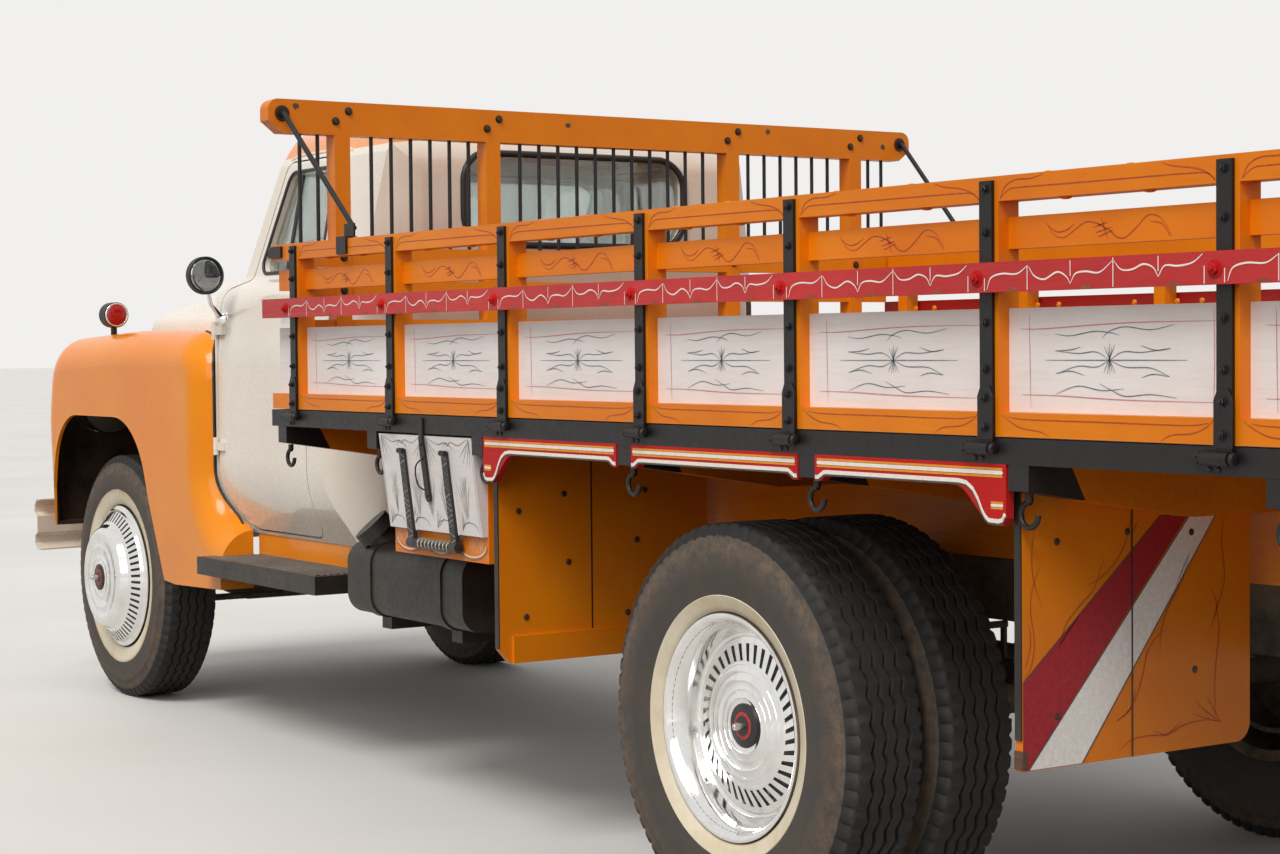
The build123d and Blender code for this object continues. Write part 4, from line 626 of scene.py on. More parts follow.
def tyreInto(bm, centre, look, band, whiteSides):
    layers = bm.verts.layers.float
    radiusLayer, turnLayer = (layers.get(key) or layers.new(key) for key in ("ringRadius", "ringTurn"))
    half, n, shoulder = look["grooveHalf"], look["around"], look["shoulder"]
    side = beadSide + band + outerSide
    cross = [("side", r, y) for r, y in side]
    for g in reversed(look["grooves"]):
        cross += [(kind, g, half * share)
                  for kind, share in (("top", 1.25), ("floor", 0.8), ("floor", -0.8), ("top", -1.25))]
    cross += [("side", r, -y) for r, y in reversed(side)]
    rings = []
    for i in range(n):
        share = i / n
        angle = 2 * math.pi * share
        shift = look["zigzag"] * (abs((share * look["zigzags"]) % 1 - 0.5) * 4 - 1)
        ring = []
        for kind, a, b in cross:
            if kind == "side":
                radius, y = a, b
                if i % look["lugEvery"] == 0 and a > shoulder:
                    deep = look["lugDepth"] * min(1, (a - shoulder) / 0.02)
                    radius -= deep
                    y -= math.copysign(deep * (0.5 if a < 0.47 else 0.1), b)
            else:
                radius = look["treadRadius"] - (look["grooveDepth"] if kind == "floor" else 0)
                y = a + b + shift
            vert = bm.verts.new((centre[0] + radius * math.cos(angle), centre[1] + y,
                                 centre[2] + radius * math.sin(angle)))
            vert[radiusLayer], vert[turnLayer] = radius, share
            ring.append(vert)
        rings.append(ring)
    last = len(cross) - 1
    whiteFaces = range(len(beadSide), len(beadSide) + len(band) - 1)
    for i, ring in enumerate(rings):
        other = rings[(i + 1) % n]
        for j in range(last):
            face = bm.faces.new((ring[j], other[j], other[j + 1], ring[j + 1]))
            opposite = last - 1 - j
            if (j in whiteFaces and 1 in whiteSides) or (opposite in whiteFaces and -1 in whiteSides):
                face.material_index = 0
            else:
                face.material_index = 1 if min(j, opposite) < len(side) - 4 else 2


def tyrePiece(name, places, body, node, band):
    bm = bmesh.new()
    for centre, whiteSides in places:
        tyreInto(bm, centre, tyreLook, band, whiteSides)
    # the tread and shoulders take the darker rubber, which carries painted shade
    piece = addPiece(name, bm, body, ("whiteBand", "sideRubber", "treadRubber"), True,
                     outward=True)
    crisp(piece, 40)
    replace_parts(piece, node)


frontTrack, rearTrack, dualStep = 0.750, 1.025, 0.262
for side, sign in sides:
    front = [((frontAxleX, sign * frontTrack, axleHeight), (sign,))]
    rear = [((rearAxleX, sign * rearTrack, axleHeight), (sign,)),
            ((rearAxleX, sign * (rearTrack - dualStep), axleHeight), ())]
    tyrePiece(f"treadedTyreFront_{side}", front, f"wheel_front_{side}_body", f"tyre_front_{side}", bandFront)
    tyrePiece(f"treadedTyresRear_{side}", rear, f"wheels_rear_{side}_body", f"tyres_rear_{side}", bandRear)
print("tyres are cut")

# wheels: a pressed rim and disc, the drum behind it and the polished slotted cap.
# Every profile is radius and reach outboard from the tyre's middle.
rimSection = ((0.2350, -0.086), (0.2640, -0.0960), (0.2645, -0.0900), (0.2480, -0.0862), (0.2440, -0.0780),
              (0.2440, 0.0780), (0.2480, 0.0862), (0.2645, 0.0900), (0.2640, 0.0960), (0.2550, 0.0955),
              (0.2420, 0.0840), (0.2350, 0.0700))
frontWheelLook = {
    "around": 240, "slots": 60, "slotRow": 8, "slotShare": 0.5, "slotDepth": 0.006, "slotTwist": 0.0,
    "cap": ((0.2620, 0.0960), (0.2720, 0.0980), (0.2742, 0.1005), (0.2738, 0.1040), (0.2680, 0.1070),
            (0.2585, 0.1100), (0.2550, 0.1135), (0.2535, 0.1205), (0.2510, 0.1235), (0.2140, 0.1475),
            (0.2110, 0.1500), (0.2045, 0.1520), (0.2015, 0.1550), (0.1935, 0.1740), (0.1900, 0.1790),
            (0.1840, 0.1840), (0.1760, 0.1870), (0.1500, 0.1882), (0.1485, 0.1868), (0.1215, 0.1882),
            (0.1190, 0.1902), (0.1165, 0.1882), (0.1000, 0.1880), (0.0985, 0.1868), (0.0770, 0.1878),
            (0.0750, 0.1896), (0.0725, 0.1878), (0.0560, 0.1880), (0.0540, 0.1900), (0.0510, 0.1902)),
    "boss": 0.1890, "bossRadius": 0.050, "pin": 0.2270,
    "turned": (
        ((0.0620, 0.0700), (0.1500, 0.0840), (0.2400, 0.0580), (0.2400, 0.0690), (0.1500, 0.0945),
         (0.0620, 0.0830)),
        ((0.0620, -0.0200), (0.1780, -0.0200), (0.1780, -0.0700), (0.1900, -0.0700), (0.1900, -0.0060),
         (0.0620, -0.0060)),
        ((0.0242, -0.0340), (0.0620, -0.0340), (0.0620, 0.1000), (0.0242, 0.1000)),
    ),
}
rearWheelLook = {
    "around": 228, "slots": 38, "slotRow": 13, "slotShare": 0.5, "slotDepth": 0.009, "slotTwist": 0.6,
    "cap": ((0.2640, 0.0958), (0.2580, 0.0966), (0.2515, 0.0950), (0.2465, 0.0885), (0.2400, 0.0820),
            (0.2335, 0.0740), (0.2270, 0.0610), (0.2215, 0.0450), (0.2170, 0.0300), (0.2130, 0.0235),
            (0.2085, 0.0225), (0.2050, 0.0250), (0.2035, 0.0285), (0.1905, 0.0310), (0.1485, 0.0430),
            (0.1465, 0.0452), (0.1420, 0.0452), (0.1405, 0.0425), (0.1250, 0.0443), (0.1236, 0.0462),
            (0.1222, 0.0445), (0.1050, 0.0468), (0.1035, 0.0486), (0.1018, 0.0460), (0.0990, 0.0452),
            (0.0845, 0.0462), (0.0830, 0.0480), (0.0815, 0.0462), (0.0655, 0.0470), (0.0640, 0.0488),
            (0.0625, 0.0472), (0.0520, 0.0474)),
    "boss": 0.0465, "bossRadius": 0.0515, "pin": 0.0815,
    "turned": (
        ((0.0900, -0.1310), (0.1700, -0.1310), (0.2400, -0.0670), (0.2400, -0.0530), (0.1660, -0.1180),
         (0.0900, -0.1180)),
        ((0.0900, -0.1320), (0.1700, -0.1320), (0.2400, -0.1950), (0.2400, -0.2090), (0.1660, -0.1450),
         (0.0900, -0.1450)),
        ((0.0482, -0.2210), (0.0960, -0.2210), (0.0960, -0.0710), (0.0482, -0.0710)),
        ((0.0900, -0.2230), (0.1760, -0.2230), (0.1760, -0.3310), (0.1900, -0.3310), (0.1900, -0.2110),
         (0.0900, -0.2110)),
    ),
}


def turnedInto(bm, centre, sign, profile, n, material, closed=True, row=None, twist=0.0):
    rings = []
    for k, (radius, reach) in enumerate(profile):
        lean = sign * twist if row is not None and k > row else 0.0
        angles = [2 * math.pi * i / n + lean for i in range(n)]
        rings.append([bm.verts.new((centre[0] + radius * math.cos(a), centre[1] + sign * reach,
                                    centre[2] + radius * math.sin(a))) for a in angles])
    rows = []
    for ring, other in zip(rings, rings[1:] + (rings[:1] if closed else [])):
        rows.append([])
        for i in range(n):
            j = (i + 1) % n
            face = bm.faces.new((ring[i], ring[j], other[j], other[i])[::1 if sign < 0 else -1])
            face.material_index = material
            rows[-1].append(face)
    return rows


def capInto(bm, centre, sign, s):
    n = s["around"]
    step = n // s["slots"]
    twist = s["slotTwist"] * 2 * math.pi / s["slots"]
    row = turnedInto(bm, centre, sign, s["cap"], n, 0, closed=False, row=s["slotRow"],
                     twist=twist)[s["slotRow"]]
    slots = [face for i, face in enumerate(row) if i % step < step * s["slotShare"]]
    bm.normal_update()
    bmesh.ops.inset_region(bm, faces=slots, thickness=0.0012, use_even_offset=True)
    bmesh.ops.inset_region(bm, faces=slots, thickness=0.0004, depth=-s["slotDepth"])
    # the slots' floors take the near-black gap paint: painted shade for the dark hollow behind each slot
    for face in slots:
        face.material_index = 1
    # the hub's boss in black, red and black, and the axle's tip
    place = Vector((centre[0], centre[1] + sign * s["boss"], centre[2]))
    r, tip = s["bossRadius"], s["pin"] - s["boss"]
    for steps, count, material in (
        (((r, -0.004), (r, 0.004), (r * 0.95, 0.0058)), 48, 2),
        (((r * 0.62, 0.0052), (r * 0.62, 0.0070), (r * 0.56, 0.0074)), 40, 3),
        (((r * 0.46, 0.0060), (r * 0.46, 0.0084), (r * 0.34, 0.0090)), 40, 2),
        (((0.0092, 0.006), (0.0092, tip - 0.009), (0.0072, tip - 0.006), (0.0072, tip - 0.003),
          (0.0045, tip)), 20, 4),
    ):
        studInto(bm, place, (0, sign, 0), steps, count, material)


wheelPaints = ("brightChrome", "gapBlack", "gasketRubber", "plainRed", "dullChrome", "chassisBlack")
for side, sign in sides:
    for name, s, x, track, offsets, node in (
        ("frontWheel", frontWheelLook, frontAxleX, frontTrack, (0,), f"wheel_front_{side}"),
        ("rearWheels", rearWheelLook, rearAxleX, rearTrack, (0, -dualStep), f"wheels_rear_{side}"),
    ):
        bm = bmesh.new()
        centre = (x, sign * track, axleHeight)
        capInto(bm, centre, sign, s)
        for offset in offsets:
            turnedInto(bm, (x, centre[1] + sign * offset, axleHeight), sign, rimSection, 96, 5)
        for section in s["turned"]:
            turnedInto(bm, centre, sign, section, 72, 5)
        wheel = addPiece(f"{name}_{side}", bm, f"{node}_body", wheelPaints, True)
        crisp(wheel, 50)
        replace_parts(wheel, node)
print("wheels are turned")


# the three gates: where each one's own face lies, its hinge straps and its end margins
sideStations = (2.087, 1.469, 0.851, 0.215, -0.363, -0.986, -1.588, -2.190)
sideStraps = [at(s) for s in sideStations]
gates = (
    {"name": "left", "body": "gate_left_body", "straps": sideStraps, "along": (1, 0, 0), "out": (0, 1, 0),
     "corner": (0, 1.205, 0)},
    {"name": "right", "body": "gate_right_body", "straps": sideStraps, "along": (1, 0, 0), "out": (0, -1, 0),
     "corner": (0, -1.205, 0)},
    {"name": "tail", "body": "tailgate_body", "straps": [0.880, 0.240, -0.400, -1.040], "along": (0, 1, 0),
     "out": (-1, 0, 0), "corner": (at(-2.243), 0, 0)},
)
gateLook = {
    "boltHeights": (1.644, 1.561, 1.389, 1.300, 1.245, 1.188), "strapFace": 0.008, "railFace": 0.0300,
    "redHeight": 1.4745, "boardFace": -0.026, "boardHeight": 1.3165, "slatHeight": 1.5595, "topHeight": 1.644,
    "lowHeight": 1.194, "leafHigh": 1.268, "leafLow": 1.166, "leafWidth": 0.043, "leafThick": 0.0042,
    "postBehind": 0.0285, "postAhead": 0.0175, "bayWidth": 0.556, "pinHeight": 1.148, "pinFace": 0.013,
    "innerFace": -0.0515, "innerHeight": 1.474,
}

# painted lines, read off the boards: steps along the bay and up, and what one step measures
whiteMotif = {"step": (0.00068, 0.000504), "width": 0.0020, "lines": (
    ((-245, 0), (280, 0)), ((0, 0), (50, 30), (120, 28), (222, 42)), ((115, 52), (170, 35), (222, 42)),
    ((0, 0), (-50, 30), (-120, 25), (-208, 35)), ((-208, 35), (-150, 38), (-110, 48)),
    ((0, 0), (-50, -25), (-120, -22), (-205, -50)), ((-205, -50), (-150, -40), (-95, -55)),
    ((0, 0), (60, -25), (150, -28), (218, -58)), ((118, -62), (160, -50), (218, -58)),
    ((-208, 98), (-150, 90), (-60, 105), (0, 100), (38, 90)),
    ((-28, 80), (0, 105), (60, 120), (150, 108), (235, 125)),
    ((-205, -125), (-120, -95), (-30, -110), (52, -103)),
    ((-38, -85), (10, -110), (60, -130), (150, -122), (243, -133)), ((0, -50), (0, 62)),
    ((-22, -46), (20, 55)), ((22, -48), (-20, 50)), ((-9, -52), (9, 48)), ((10, -46), (-8, 46)),
)}
whiteBorder = {"step": (0.00068, 0.000504), "width": 0.0020, "lines": (
    ((-323, 177), (-321, 0), (-318, -180)), ((386, 182), (388, 0), (384, -190)),
    ((-360, 118), (-255, 118), (60, 134), (392, 136)), ((-357, -130), (-200, -132), (60, -143), (392, -146)),
)}
slatMotif = {"step": (0.00068, 0.000504), "width": 0.0023, "lines": (
    ((-260, 35), (-225, -17), (-185, -28), (-145, -3), (-105, 22), (-65, 17), (-15, -12), (15, -39),
     (45, -41), (85, -9), (125, 31), (165, 25), (195, -12), (210, -48)),
    ((-250, 20), (-215, -6), (-175, -1), (-147, 19)), ((135, 9), (175, 0), (205, -43)), ((-75, 1), (-20, 17)),
    ((-65, -18), (-5, -2)), ((-45, 35), (-20, -45)), ((-55, -34), (0, -12)),
)}
# the next two run the whole bay: a share of the bay and millimetres up
topMotif = {"width": 0.0022, "lines": (
    ((-0.49, -19), (-0.45, -4), (-0.40, -1), (-0.215, -1.4), (0.158, -2), (0.394, -2.8), (0.455, -6),
     (0.486, -19)),
    ((-0.49, -19), (-0.465, 3), (-0.415, 14), (-0.34, 14), (-0.28, 20)),
    ((0.262, 20), (0.307, 12.9), (0.394, 6), (0.45, -4), (0.486, -19)),
)}
bottomMotif = {"width": 0.0022, "lines": (
    ((-0.455, 15), (-0.36, 11), (0, 10), (0.36, 9), (0.455, 14)),
    ((-0.485, 19), (-0.44, 5), (-0.385, -6), (-0.30, -11), (-0.255, -20)),
    ((0.475, 19), (0.44, 5), (0.385, -5), (0.30, -9), (0.255, -20)),
)}
redMotif = {"step": 1 / 890, "up": 0.000647, "width": 0.0034, "tickWidth": 0.0022, "lines": (
    ((-402, -36), (-385, -2), (-340, 9), (-280, 7), (-240, 27)),
    ((-232, 26), (-210, -1), (-170, -12), (-120, 7), (-85, -7), (-70, -28)),
    ((-70, -28), (-50, 0), (-10, 5), (40, 1), (88, 31)),
    ((93, 31), (120, 6), (160, 5), (200, 18), (235, 7), (252, -18)),
    ((252, -18), (275, 11), (320, 9), (370, 16), (405, 38)),
), "ticks": (((-412, -2), (-412, -40)), ((-238, 30), (-238, -41)), ((-70, 38), (-70, -6)),
             ((90, 40), (90, -41)), ((252, 38), (252, -3)), ((410, 6), (410, -41))),
    "knots": (-290, -15, 295)}


def gateSpot(g, along, up, out):
    return Vector(g["corner"]) + Vector(g["along"]) * along + Vector(skyward) * up + Vector(g["out"]) * out


def gateFace(g, middle, height, out):
    return Board(gateSpot(g, middle, height, out), -Vector(g["along"]), skyward, g["out"])


def paintMotif(bm, board, motif, stretch, material):
    stepU, stepV = motif["step"]
    for line in motif["lines"]:
        brushInto(bm, board, [(u * stepU * stretch, v * stepV) for u, v in line], motif["width"], material)


def gateLines(g, look):
    bm = bmesh.new()
    bays = list(zip(g["straps"], g["straps"][1:]))
    for front, rear in bays:
        near, far = front - look["postBehind"], rear + look["postAhead"]
        middle, width = (near + far) / 2, near - far
        stretch = width / look["bayWidth"]
        panel = gateFace(g, middle + 0.010, look["boardHeight"], look["boardFace"])
        paintMotif(bm, panel, whiteMotif, stretch, 0)
        paintMotif(bm, panel, whiteBorder, stretch * 0.96, 1)
        paintMotif(bm, gateFace(g, middle, look["slatHeight"], look["boardFace"]), slatMotif, stretch, 2)
        for height, motif in ((look["topHeight"], topMotif), (look["lowHeight"], bottomMotif)):
            paintMotif(bm, gateFace(g, middle, height, 0.0), {**motif, "step": (width, 0.001)}, 1, 2)
    # the red rail runs on past the end straps
    for front, rear in bays:
        middle, width = (front + rear) / 2, front - rear
        board = gateFace(g, middle, look["redHeight"], look["railFace"])
        for key, span, bare in (("lines", "width", False), ("ticks", "tickWidth", True)):
            for line in redMotif[key]:
                points = [(u * width * redMotif["step"], v * redMotif["up"]) for u, v in line]
                brushInto(bm, board, points, redMotif[span], 3, taper=not bare, straight=bare)
        for knot in redMotif["knots"]:
            along = knot * width * redMotif["step"] + random.uniform(-0.01, 0.01)
            patchInto(bm, board, arch(along, -0.0285, 0.017, 0.0085), 4)
    addPiece(f"gateLines_{g['name']}", bm, g["body"],
             ("lineBlue", "linePink", "lineMaroon", "lineWhite", "lineKnot"))


hexNut = ((0.0098, 0.0), (0.0098, 0.0022), (0.0074, 0.0024), (0.0074, 0.0066), (0.006, 0.0078))
boltEnd = ((0.0042, 0), (0.0042, 0.0042), (0.003, 0.005))
railWasher = ((0.0165, -0.0004), (0.0165, 0.0016), (0.0155, 0.002))
railNut = ((0.0105, 0.0016), (0.0105, 0.0085), (0.0085, 0.0095))
railEnd = ((0.0052, 0.008), (0.0052, 0.0136), (0.0038, 0.0146))
flatHead = ((0.0140, -0.0006), (0.0140, 0.0002), (0.0100, 0.0005), (0.0030, 0.0006))


def gateIrons(g, look):
    bm = bmesh.new()
    strapFace, thick = look["strapFace"], look["leafThick"]
    half, low, high = look["leafWidth"] / 2, look["leafLow"], look["leafHigh"]
    # the hinge leaf's outline, its top cut to a point
    shape = ((-half, low), (half, low), (half, high - 0.020), (0.012, high), (-0.012, high),
             (-half, high - 0.020))
    for strap in g["straps"]:
        for height in look["boltHeights"]:
            spin = random.uniform(0, 1)
            face = strapFace + (thick if height < high - 0.01 else 0)
            studInto(bm, gateSpot(g, strap, height, face - 0.0004), g["out"], hexNut, 6, 0, spin)
            studInto(bm, gateSpot(g, strap, height, face + 0.006), g["out"], boltEnd, 8)
        spot = gateSpot(g, strap, look["redHeight"] - 0.002, look["railFace"])
        if g["name"] == "tail":  # flat heads, so that nothing stands behind the rail
            studInto(bm, spot, g["out"], flatHead, 24, 1)
        else:
            studInto(bm, spot, g["out"], railWasher, 24, 1)
            studInto(bm, spot, g["out"], railNut, 6, 1, random.uniform(0, 1))
            studInto(bm, spot, g["out"], railEnd, 10, 1)
        layers = ((strapFace - 0.0005, 0), (strapFace + thick - 0.001, 0), (strapFace + thick, 0.001))
        rings = [[bm.verts.new(gateSpot(g, strap + u * (1 - inset / 0.02), v, out)) for u, v in shape]
                 for out, inset in layers]
        sweepInto(bm, rings)
        bm.faces.new(rings[-1])
    addPiece(f"gateBolts_{g['name']}", bm, g["body"], ("blackIron", "redIron"),
             outward=True)


pinNut = ((0.0125, 0.0004), (0.0125, 0.0085), (0.010, 0.0098))
pinTip = ((0.0062, 0.009), (0.0062, 0.0136), (0.0018, 0.0138))
pinHead = ((0.0118, -0.001), (0.0118, 0.0022), (0.0088, 0.0052), (0.004, 0.0064))


def hingePins(g, look):  # a nut on each pin's outer end, drawn to a point, and rivets in the rim's leaf
    bm = bmesh.new()
    along, up, out = Vector(g["along"]), look["pinHeight"], look["pinFace"]
    for strap in g["straps"]:
        foot = gateSpot(g, strap + 0.0175 + 0.001 + 0.030, up, out)
        studInto(bm, foot, along, pinNut, 6, 0, random.uniform(0, 1))
        studInto(bm, foot, along, pinTip, 12)
        studInto(bm, gateSpot(g, strap - 0.0175 - 0.006, up, out), -along, pinHead, 20)
        for offset in (0.020, 0.040):
            studInto(bm, gateSpot(g, strap + offset, up - 0.020, 0.0), g["out"], domeHead(0.0055, 0.0035), 12)
    addPiece(f"hingePins_{g['name']}", bm, chassis, ("blackIron",), outward=True)


# small orange bolt heads inside the far faces of the rails, and a few knots under the top rail
def railBolts(g, look):
    bm = bmesh.new()
    inward, head = -Vector(g["out"]), ((0.0088, -0.001), (0.0088, 0.004), (0.0066, 0.0066))
    for front, rear in zip(g["straps"], g["straps"][1:]):
        for share in (0.13, 0.29, 0.84):
            spot = gateSpot(g, front + (rear - front) * share, look["innerHeight"], look["innerFace"])
            studInto(bm, spot, inward, head, 12)
        for share in (0.31, 0.66):
            along = front + (rear - front) * share + random.uniform(-0.02, 0.02)
            studInto(bm, gateSpot(g, along, 1.6202, -0.02), (0, 0, -1), domeHead(0.012, 0.005), 12)
            studInto(bm, gateSpot(g, along + 0.05, 1.6678, -0.024), skyward, domeHead(0.009, 0.004), 12)
    addPiece(f"railBolts_{g['name']}", bm, g["body"], ("orangeBoards",), outward=True)


for g in gates:
    for fit in (gateLines, gateIrons, hingePins, railBolts):
        fit(g, gateLook)
print("gates are bolted and lined")


# valance boards: their stripes and the moulding along the curved foot
valanceLook = {
    "runs": ((0.965, 0.330, 1), (0.266, -0.380, 0), (-0.440, -1.032, -1)), "face": 1.205,
    # height and half thickness of each stripe, and its paint
    "stripes": ((1.1085, 0.0022, 1), (1.1015, 0.0040, 0), (1.0942, 0.0022, 1)),
    "shortStripes": ((1.0440, 0.0019, 1), (1.0385, 0.0030, 0), (1.0328, 0.0019, 1)),
}
# distance in from the end and height: the foot's line at a plain end and at an end that drops
plainEnd = ((0.002, 1.0625), (0.012, 1.0625), (0.022, 1.0680), (0.032, 1.0735), (0.044, 1.0740))
dropEnd = ((0.002, 1.0150), (0.008, 1.0035), (0.020, 1.0000), (0.048, 1.0010), (0.058, 1.0075),
           (0.068, 1.0200), (0.080, 1.0420), (0.094, 1.0600), (0.112, 1.0710), (0.134, 1.0742))


def stripeInto(bm, board, low, high, tip, stripe):
    height, half, paint = stripe
    patchInto(bm, board, ((low, height - half), (high, height - half), (high + tip, height),
                          (high, height + half), (low, height + half), (low - tip, height)), paint)


def footLine(start, end, drop, turn=1):  # the foot from end to end; turn is -1 where the line runs rearward
    foot = [(start + turn * u, v) for u, v in (dropEnd if drop > 0 else plainEnd)]
    return foot + [(end - turn * u, v) for u, v in reversed(dropEnd if drop < 0 else plainEnd)]


def valanceLines(side, sign, s):
    bm = bmesh.new()
    board = Board((0, sign * s["face"], 0), (-1, 0, 0), skyward, (0, sign, 0), lift=0.0009)
    for front, rear, drop in s["runs"]:
        start, end = -at(front), -at(rear)
        for stripe in s["stripes"]:
            stripeInto(bm, board, start + 0.010, end - 0.010, 0.003, stripe)
        foot = footLine(start, end, drop)
        for offset, width, paint in ((0.0022, 0.0044, 2), (0.0088, 0.0072, 0)):
            brushInto(bm, board, [(u, v + offset) for u, v in foot], width, paint, taper=False, straight=True)
        if drop:
            low, high = (start + 0.008, start + 0.040) if drop > 0 else (end - 0.040, end - 0.008)
            for stripe in s["shortStripes"]:
                stripeInto(bm, board, low, high, 0.002, stripe)
        for along in (start + 0.10, (start + end) / 2, end - 0.10):
            studInto(bm, board.spot(along, 1.1128, -0.001), board.out, domeHead(0.0035, 0.0016), 10, 3)
    addPiece(f"valanceLines_{side}", bm, chassis, ("lineWhite", "lineOrange", "lineBlack", "crimsonBoards"))
    # the moulding itself: a thin bead under the boards' curved foot
    lines = [[(x, sign * (s["face"] - 0.0016), z + 0.0046)
              for x, z in footLine(at(front), at(rear), drop, -1)] for front, rear, drop in s["runs"]]
    addTube(f"valanceBead_{side}", lines, 0.0027, chassis, "creamGloss", smooth=False)


for side, sign in sides:
    valanceLines(side, sign, valanceLook)
print("valances are striped")

# boards behind and before the rear wheels
mudLook = {
    "face": at(-1.037), "low": 0.524, "outer": 1.168, "seam": 0.876, "top": 1.116,
    "bolts": ((0.09, 0.44), (0.28, 0.45), (0.46, 0.44), (0.09, 0.10), (0.47, 0.16)),
    "front": at(0.952), "frontLow": 0.520, "frontSeam": 0.287,
    "frontBolts": ((0.20, 0.440), (0.213, 0.258), (0.432, 0.306), (0.46, 0.44), (0.06, 0.40), (0.08, 0.12),
                   (0.40, 0.11)),
    # distance in from the outer edge and height above the foot, read off the left board
    "red": ((0.000, 0.172), (0.372, 0.478), (0.452, 0.478), (0.012, 0.002), (0.000, 0.004)),
    "white": ((0.014, 0.002), (0.458, 0.478), (0.535, 0.478), (0.155, 0.002)),
    "width": 0.0024, "scrolls": (
        ((0.030, 0.470), (0.024, 0.420), (0.028, 0.370), (0.050, 0.315)),
        ((0.046, 0.395), (0.026, 0.355), (0.020, 0.310), (0.030, 0.250), (0.022, 0.205), (0.004, 0.180)),
        ((0.016, 0.285), (0.020, 0.245), (0.006, 0.200)),
        ((0.095, 0.235), (0.115, 0.280), (0.155, 0.315), (0.190, 0.345), (0.215, 0.400)),
        ((0.095, 0.235), (0.118, 0.262), (0.150, 0.292)),
        ((0.170, 0.350), (0.205, 0.362), (0.245, 0.390), (0.272, 0.425), (0.290, 0.475)),
        ((0.288, 0.430), (0.300, 0.455), (0.312, 0.474)),
        ((0.250, 0.075), (0.290, 0.100), (0.318, 0.150), (0.335, 0.205), (0.362, 0.235), (0.392, 0.250)),
        ((0.250, 0.075), (0.285, 0.095), (0.302, 0.132)),
        ((0.370, 0.200), (0.375, 0.250), (0.400, 0.300), (0.435, 0.345), (0.455, 0.400)),
        ((0.416, 0.335), (0.436, 0.368), (0.452, 0.395)),
        ((0.255, 0.016), (0.290, 0.034), (0.340, 0.038), (0.390, 0.034), (0.440, 0.050), (0.500, 0.054),
         (0.545, 0.046)),
        ((0.350, 0.046), (0.390, 0.036), (0.430, 0.058)), ((0.545, 0.046), (0.520, 0.080), (0.505, 0.102)),
        ((0.545, 0.046), (0.505, 0.070), (0.470, 0.096)), ((0.545, 0.046), (0.500, 0.058), (0.462, 0.070)),
        ((0.530, 0.060), (0.528, 0.140), (0.540, 0.230), (0.532, 0.290)),
        ((0.516, 0.240), (0.534, 0.280), (0.556, 0.340), (0.548, 0.420), (0.556, 0.470)),
        ((0.520, 0.320), (0.534, 0.285), (0.522, 0.255)),
    ),
}


def cornersOf(sign, xs, ys, zs):  # the low and high corner of a box, its Y turned to the given side
    return tuple(zip(xs, sorted(sign * y for y in ys), zs))


def mudBoard(side, sign, s):
    bm = bmesh.new()
    face, outer, low = s["face"], s["outer"], s["low"]
    board = Board((face, sign * outer, low), (0, -sign, 0), skyward, (-1, 0, 0), lift=0.0008)
    red, white = s["red"], s["white"]
    patchInto(bm, board, red, 0)
    patchInto(bm, board, white, 1)
    for ends in (red[:2], white[:2], (white[3], white[2])):
        brushInto(bm, board.lifted(0.0012), ends, 0.0026, 2, taper=False, straight=True)
    for line in s["scrolls"]:
        brushInto(bm, board, line, s["width"], 3)
    # the seam between the two boards is a near-black line: painted shade in the gap between them
    seam = outer - s["seam"]
    brushInto(bm, board.lifted(0.0016), ((seam, 0.0), (seam, 0.594)), 0.0042, 4, taper=False, straight=True)
    addPiece(f"mudBoardPaint_{side}", bm, chassis,
             ("lineCrimson", "stripeWhite", "lineBlack", "lineMaroon", "gapBlack"))
    # bare wood and black at the outer edge, the foot's iron corner and the bolts along the crossbeam
    bm = bmesh.new()
    boxInto(bm, *cornersOf(sign, (face + 0.0010, face + 0.0190), (outer - 0.0006, outer + 0.0040),
                           (low + 0.060, s["top"])), 0, 0.001)
    boxInto(bm, *cornersOf(sign, (face - 0.0030, face + 0.0210), (outer - 0.010, outer + 0.0045),
                           (low + 0.004, low + 0.040)), 1, 0.002)
    for along, up in s["bolts"]:
        studInto(bm, board.spot(along, up, -0.0008), board.out, domeHead(0.0075, 0.0028), 14, 2)
    addPiece(f"mudBoardEdge_{side}", bm, chassis, ("blackIron", "rawWood", "darkBolt"))
    # the board before the wheels: two planks on a foot strip, with dark bolts
    bm = bmesh.new()
    front = Board((s["front"], sign * outer, s["frontLow"]), (0, -sign, 0), skyward, (-1, 0, 0), lift=0.0008)
    # the seam between the two planks is a near-black line: painted shade in the gap between them
    seam = s["frontSeam"]
    brushInto(bm, front, ((seam, 0.075), (seam, 0.594)), 0.0046, 0, taper=False, straight=True)
    for along, up in s["frontBolts"]:
        studInto(bm, front.spot(along, up, -0.0008), front.out,
                 ((0.0085, 0), (0.0085, 0.002), (0.0068, 0.0036), (0.003, 0.0042)), 14, 1)
    boxInto(bm, *cornersOf(sign, (s["front"], at(0.972)), (1.1675, 1.1715), (0.560, s["top"])), 2, 0.001)
    addPiece(f"frontBoardBolts_{side}", bm, chassis, ("gapBlack", "darkBolt", "blackIron"))


for side, sign in sides:
    mudBoard(side, sign, mudLook)
print("mud boards are painted")

# tool box: the lid's lines, its laced straps, the hasp from the rim and the lined apron
lidLook = {
    "rear": 1.039, "front": 1.561, "topZ": 1.112, "lowZ": 0.848, "topY": 1.201, "lowY": 1.167,
    "straps": (1.180, 1.420), "hasp": 1.300, "width": 0.0022,
}


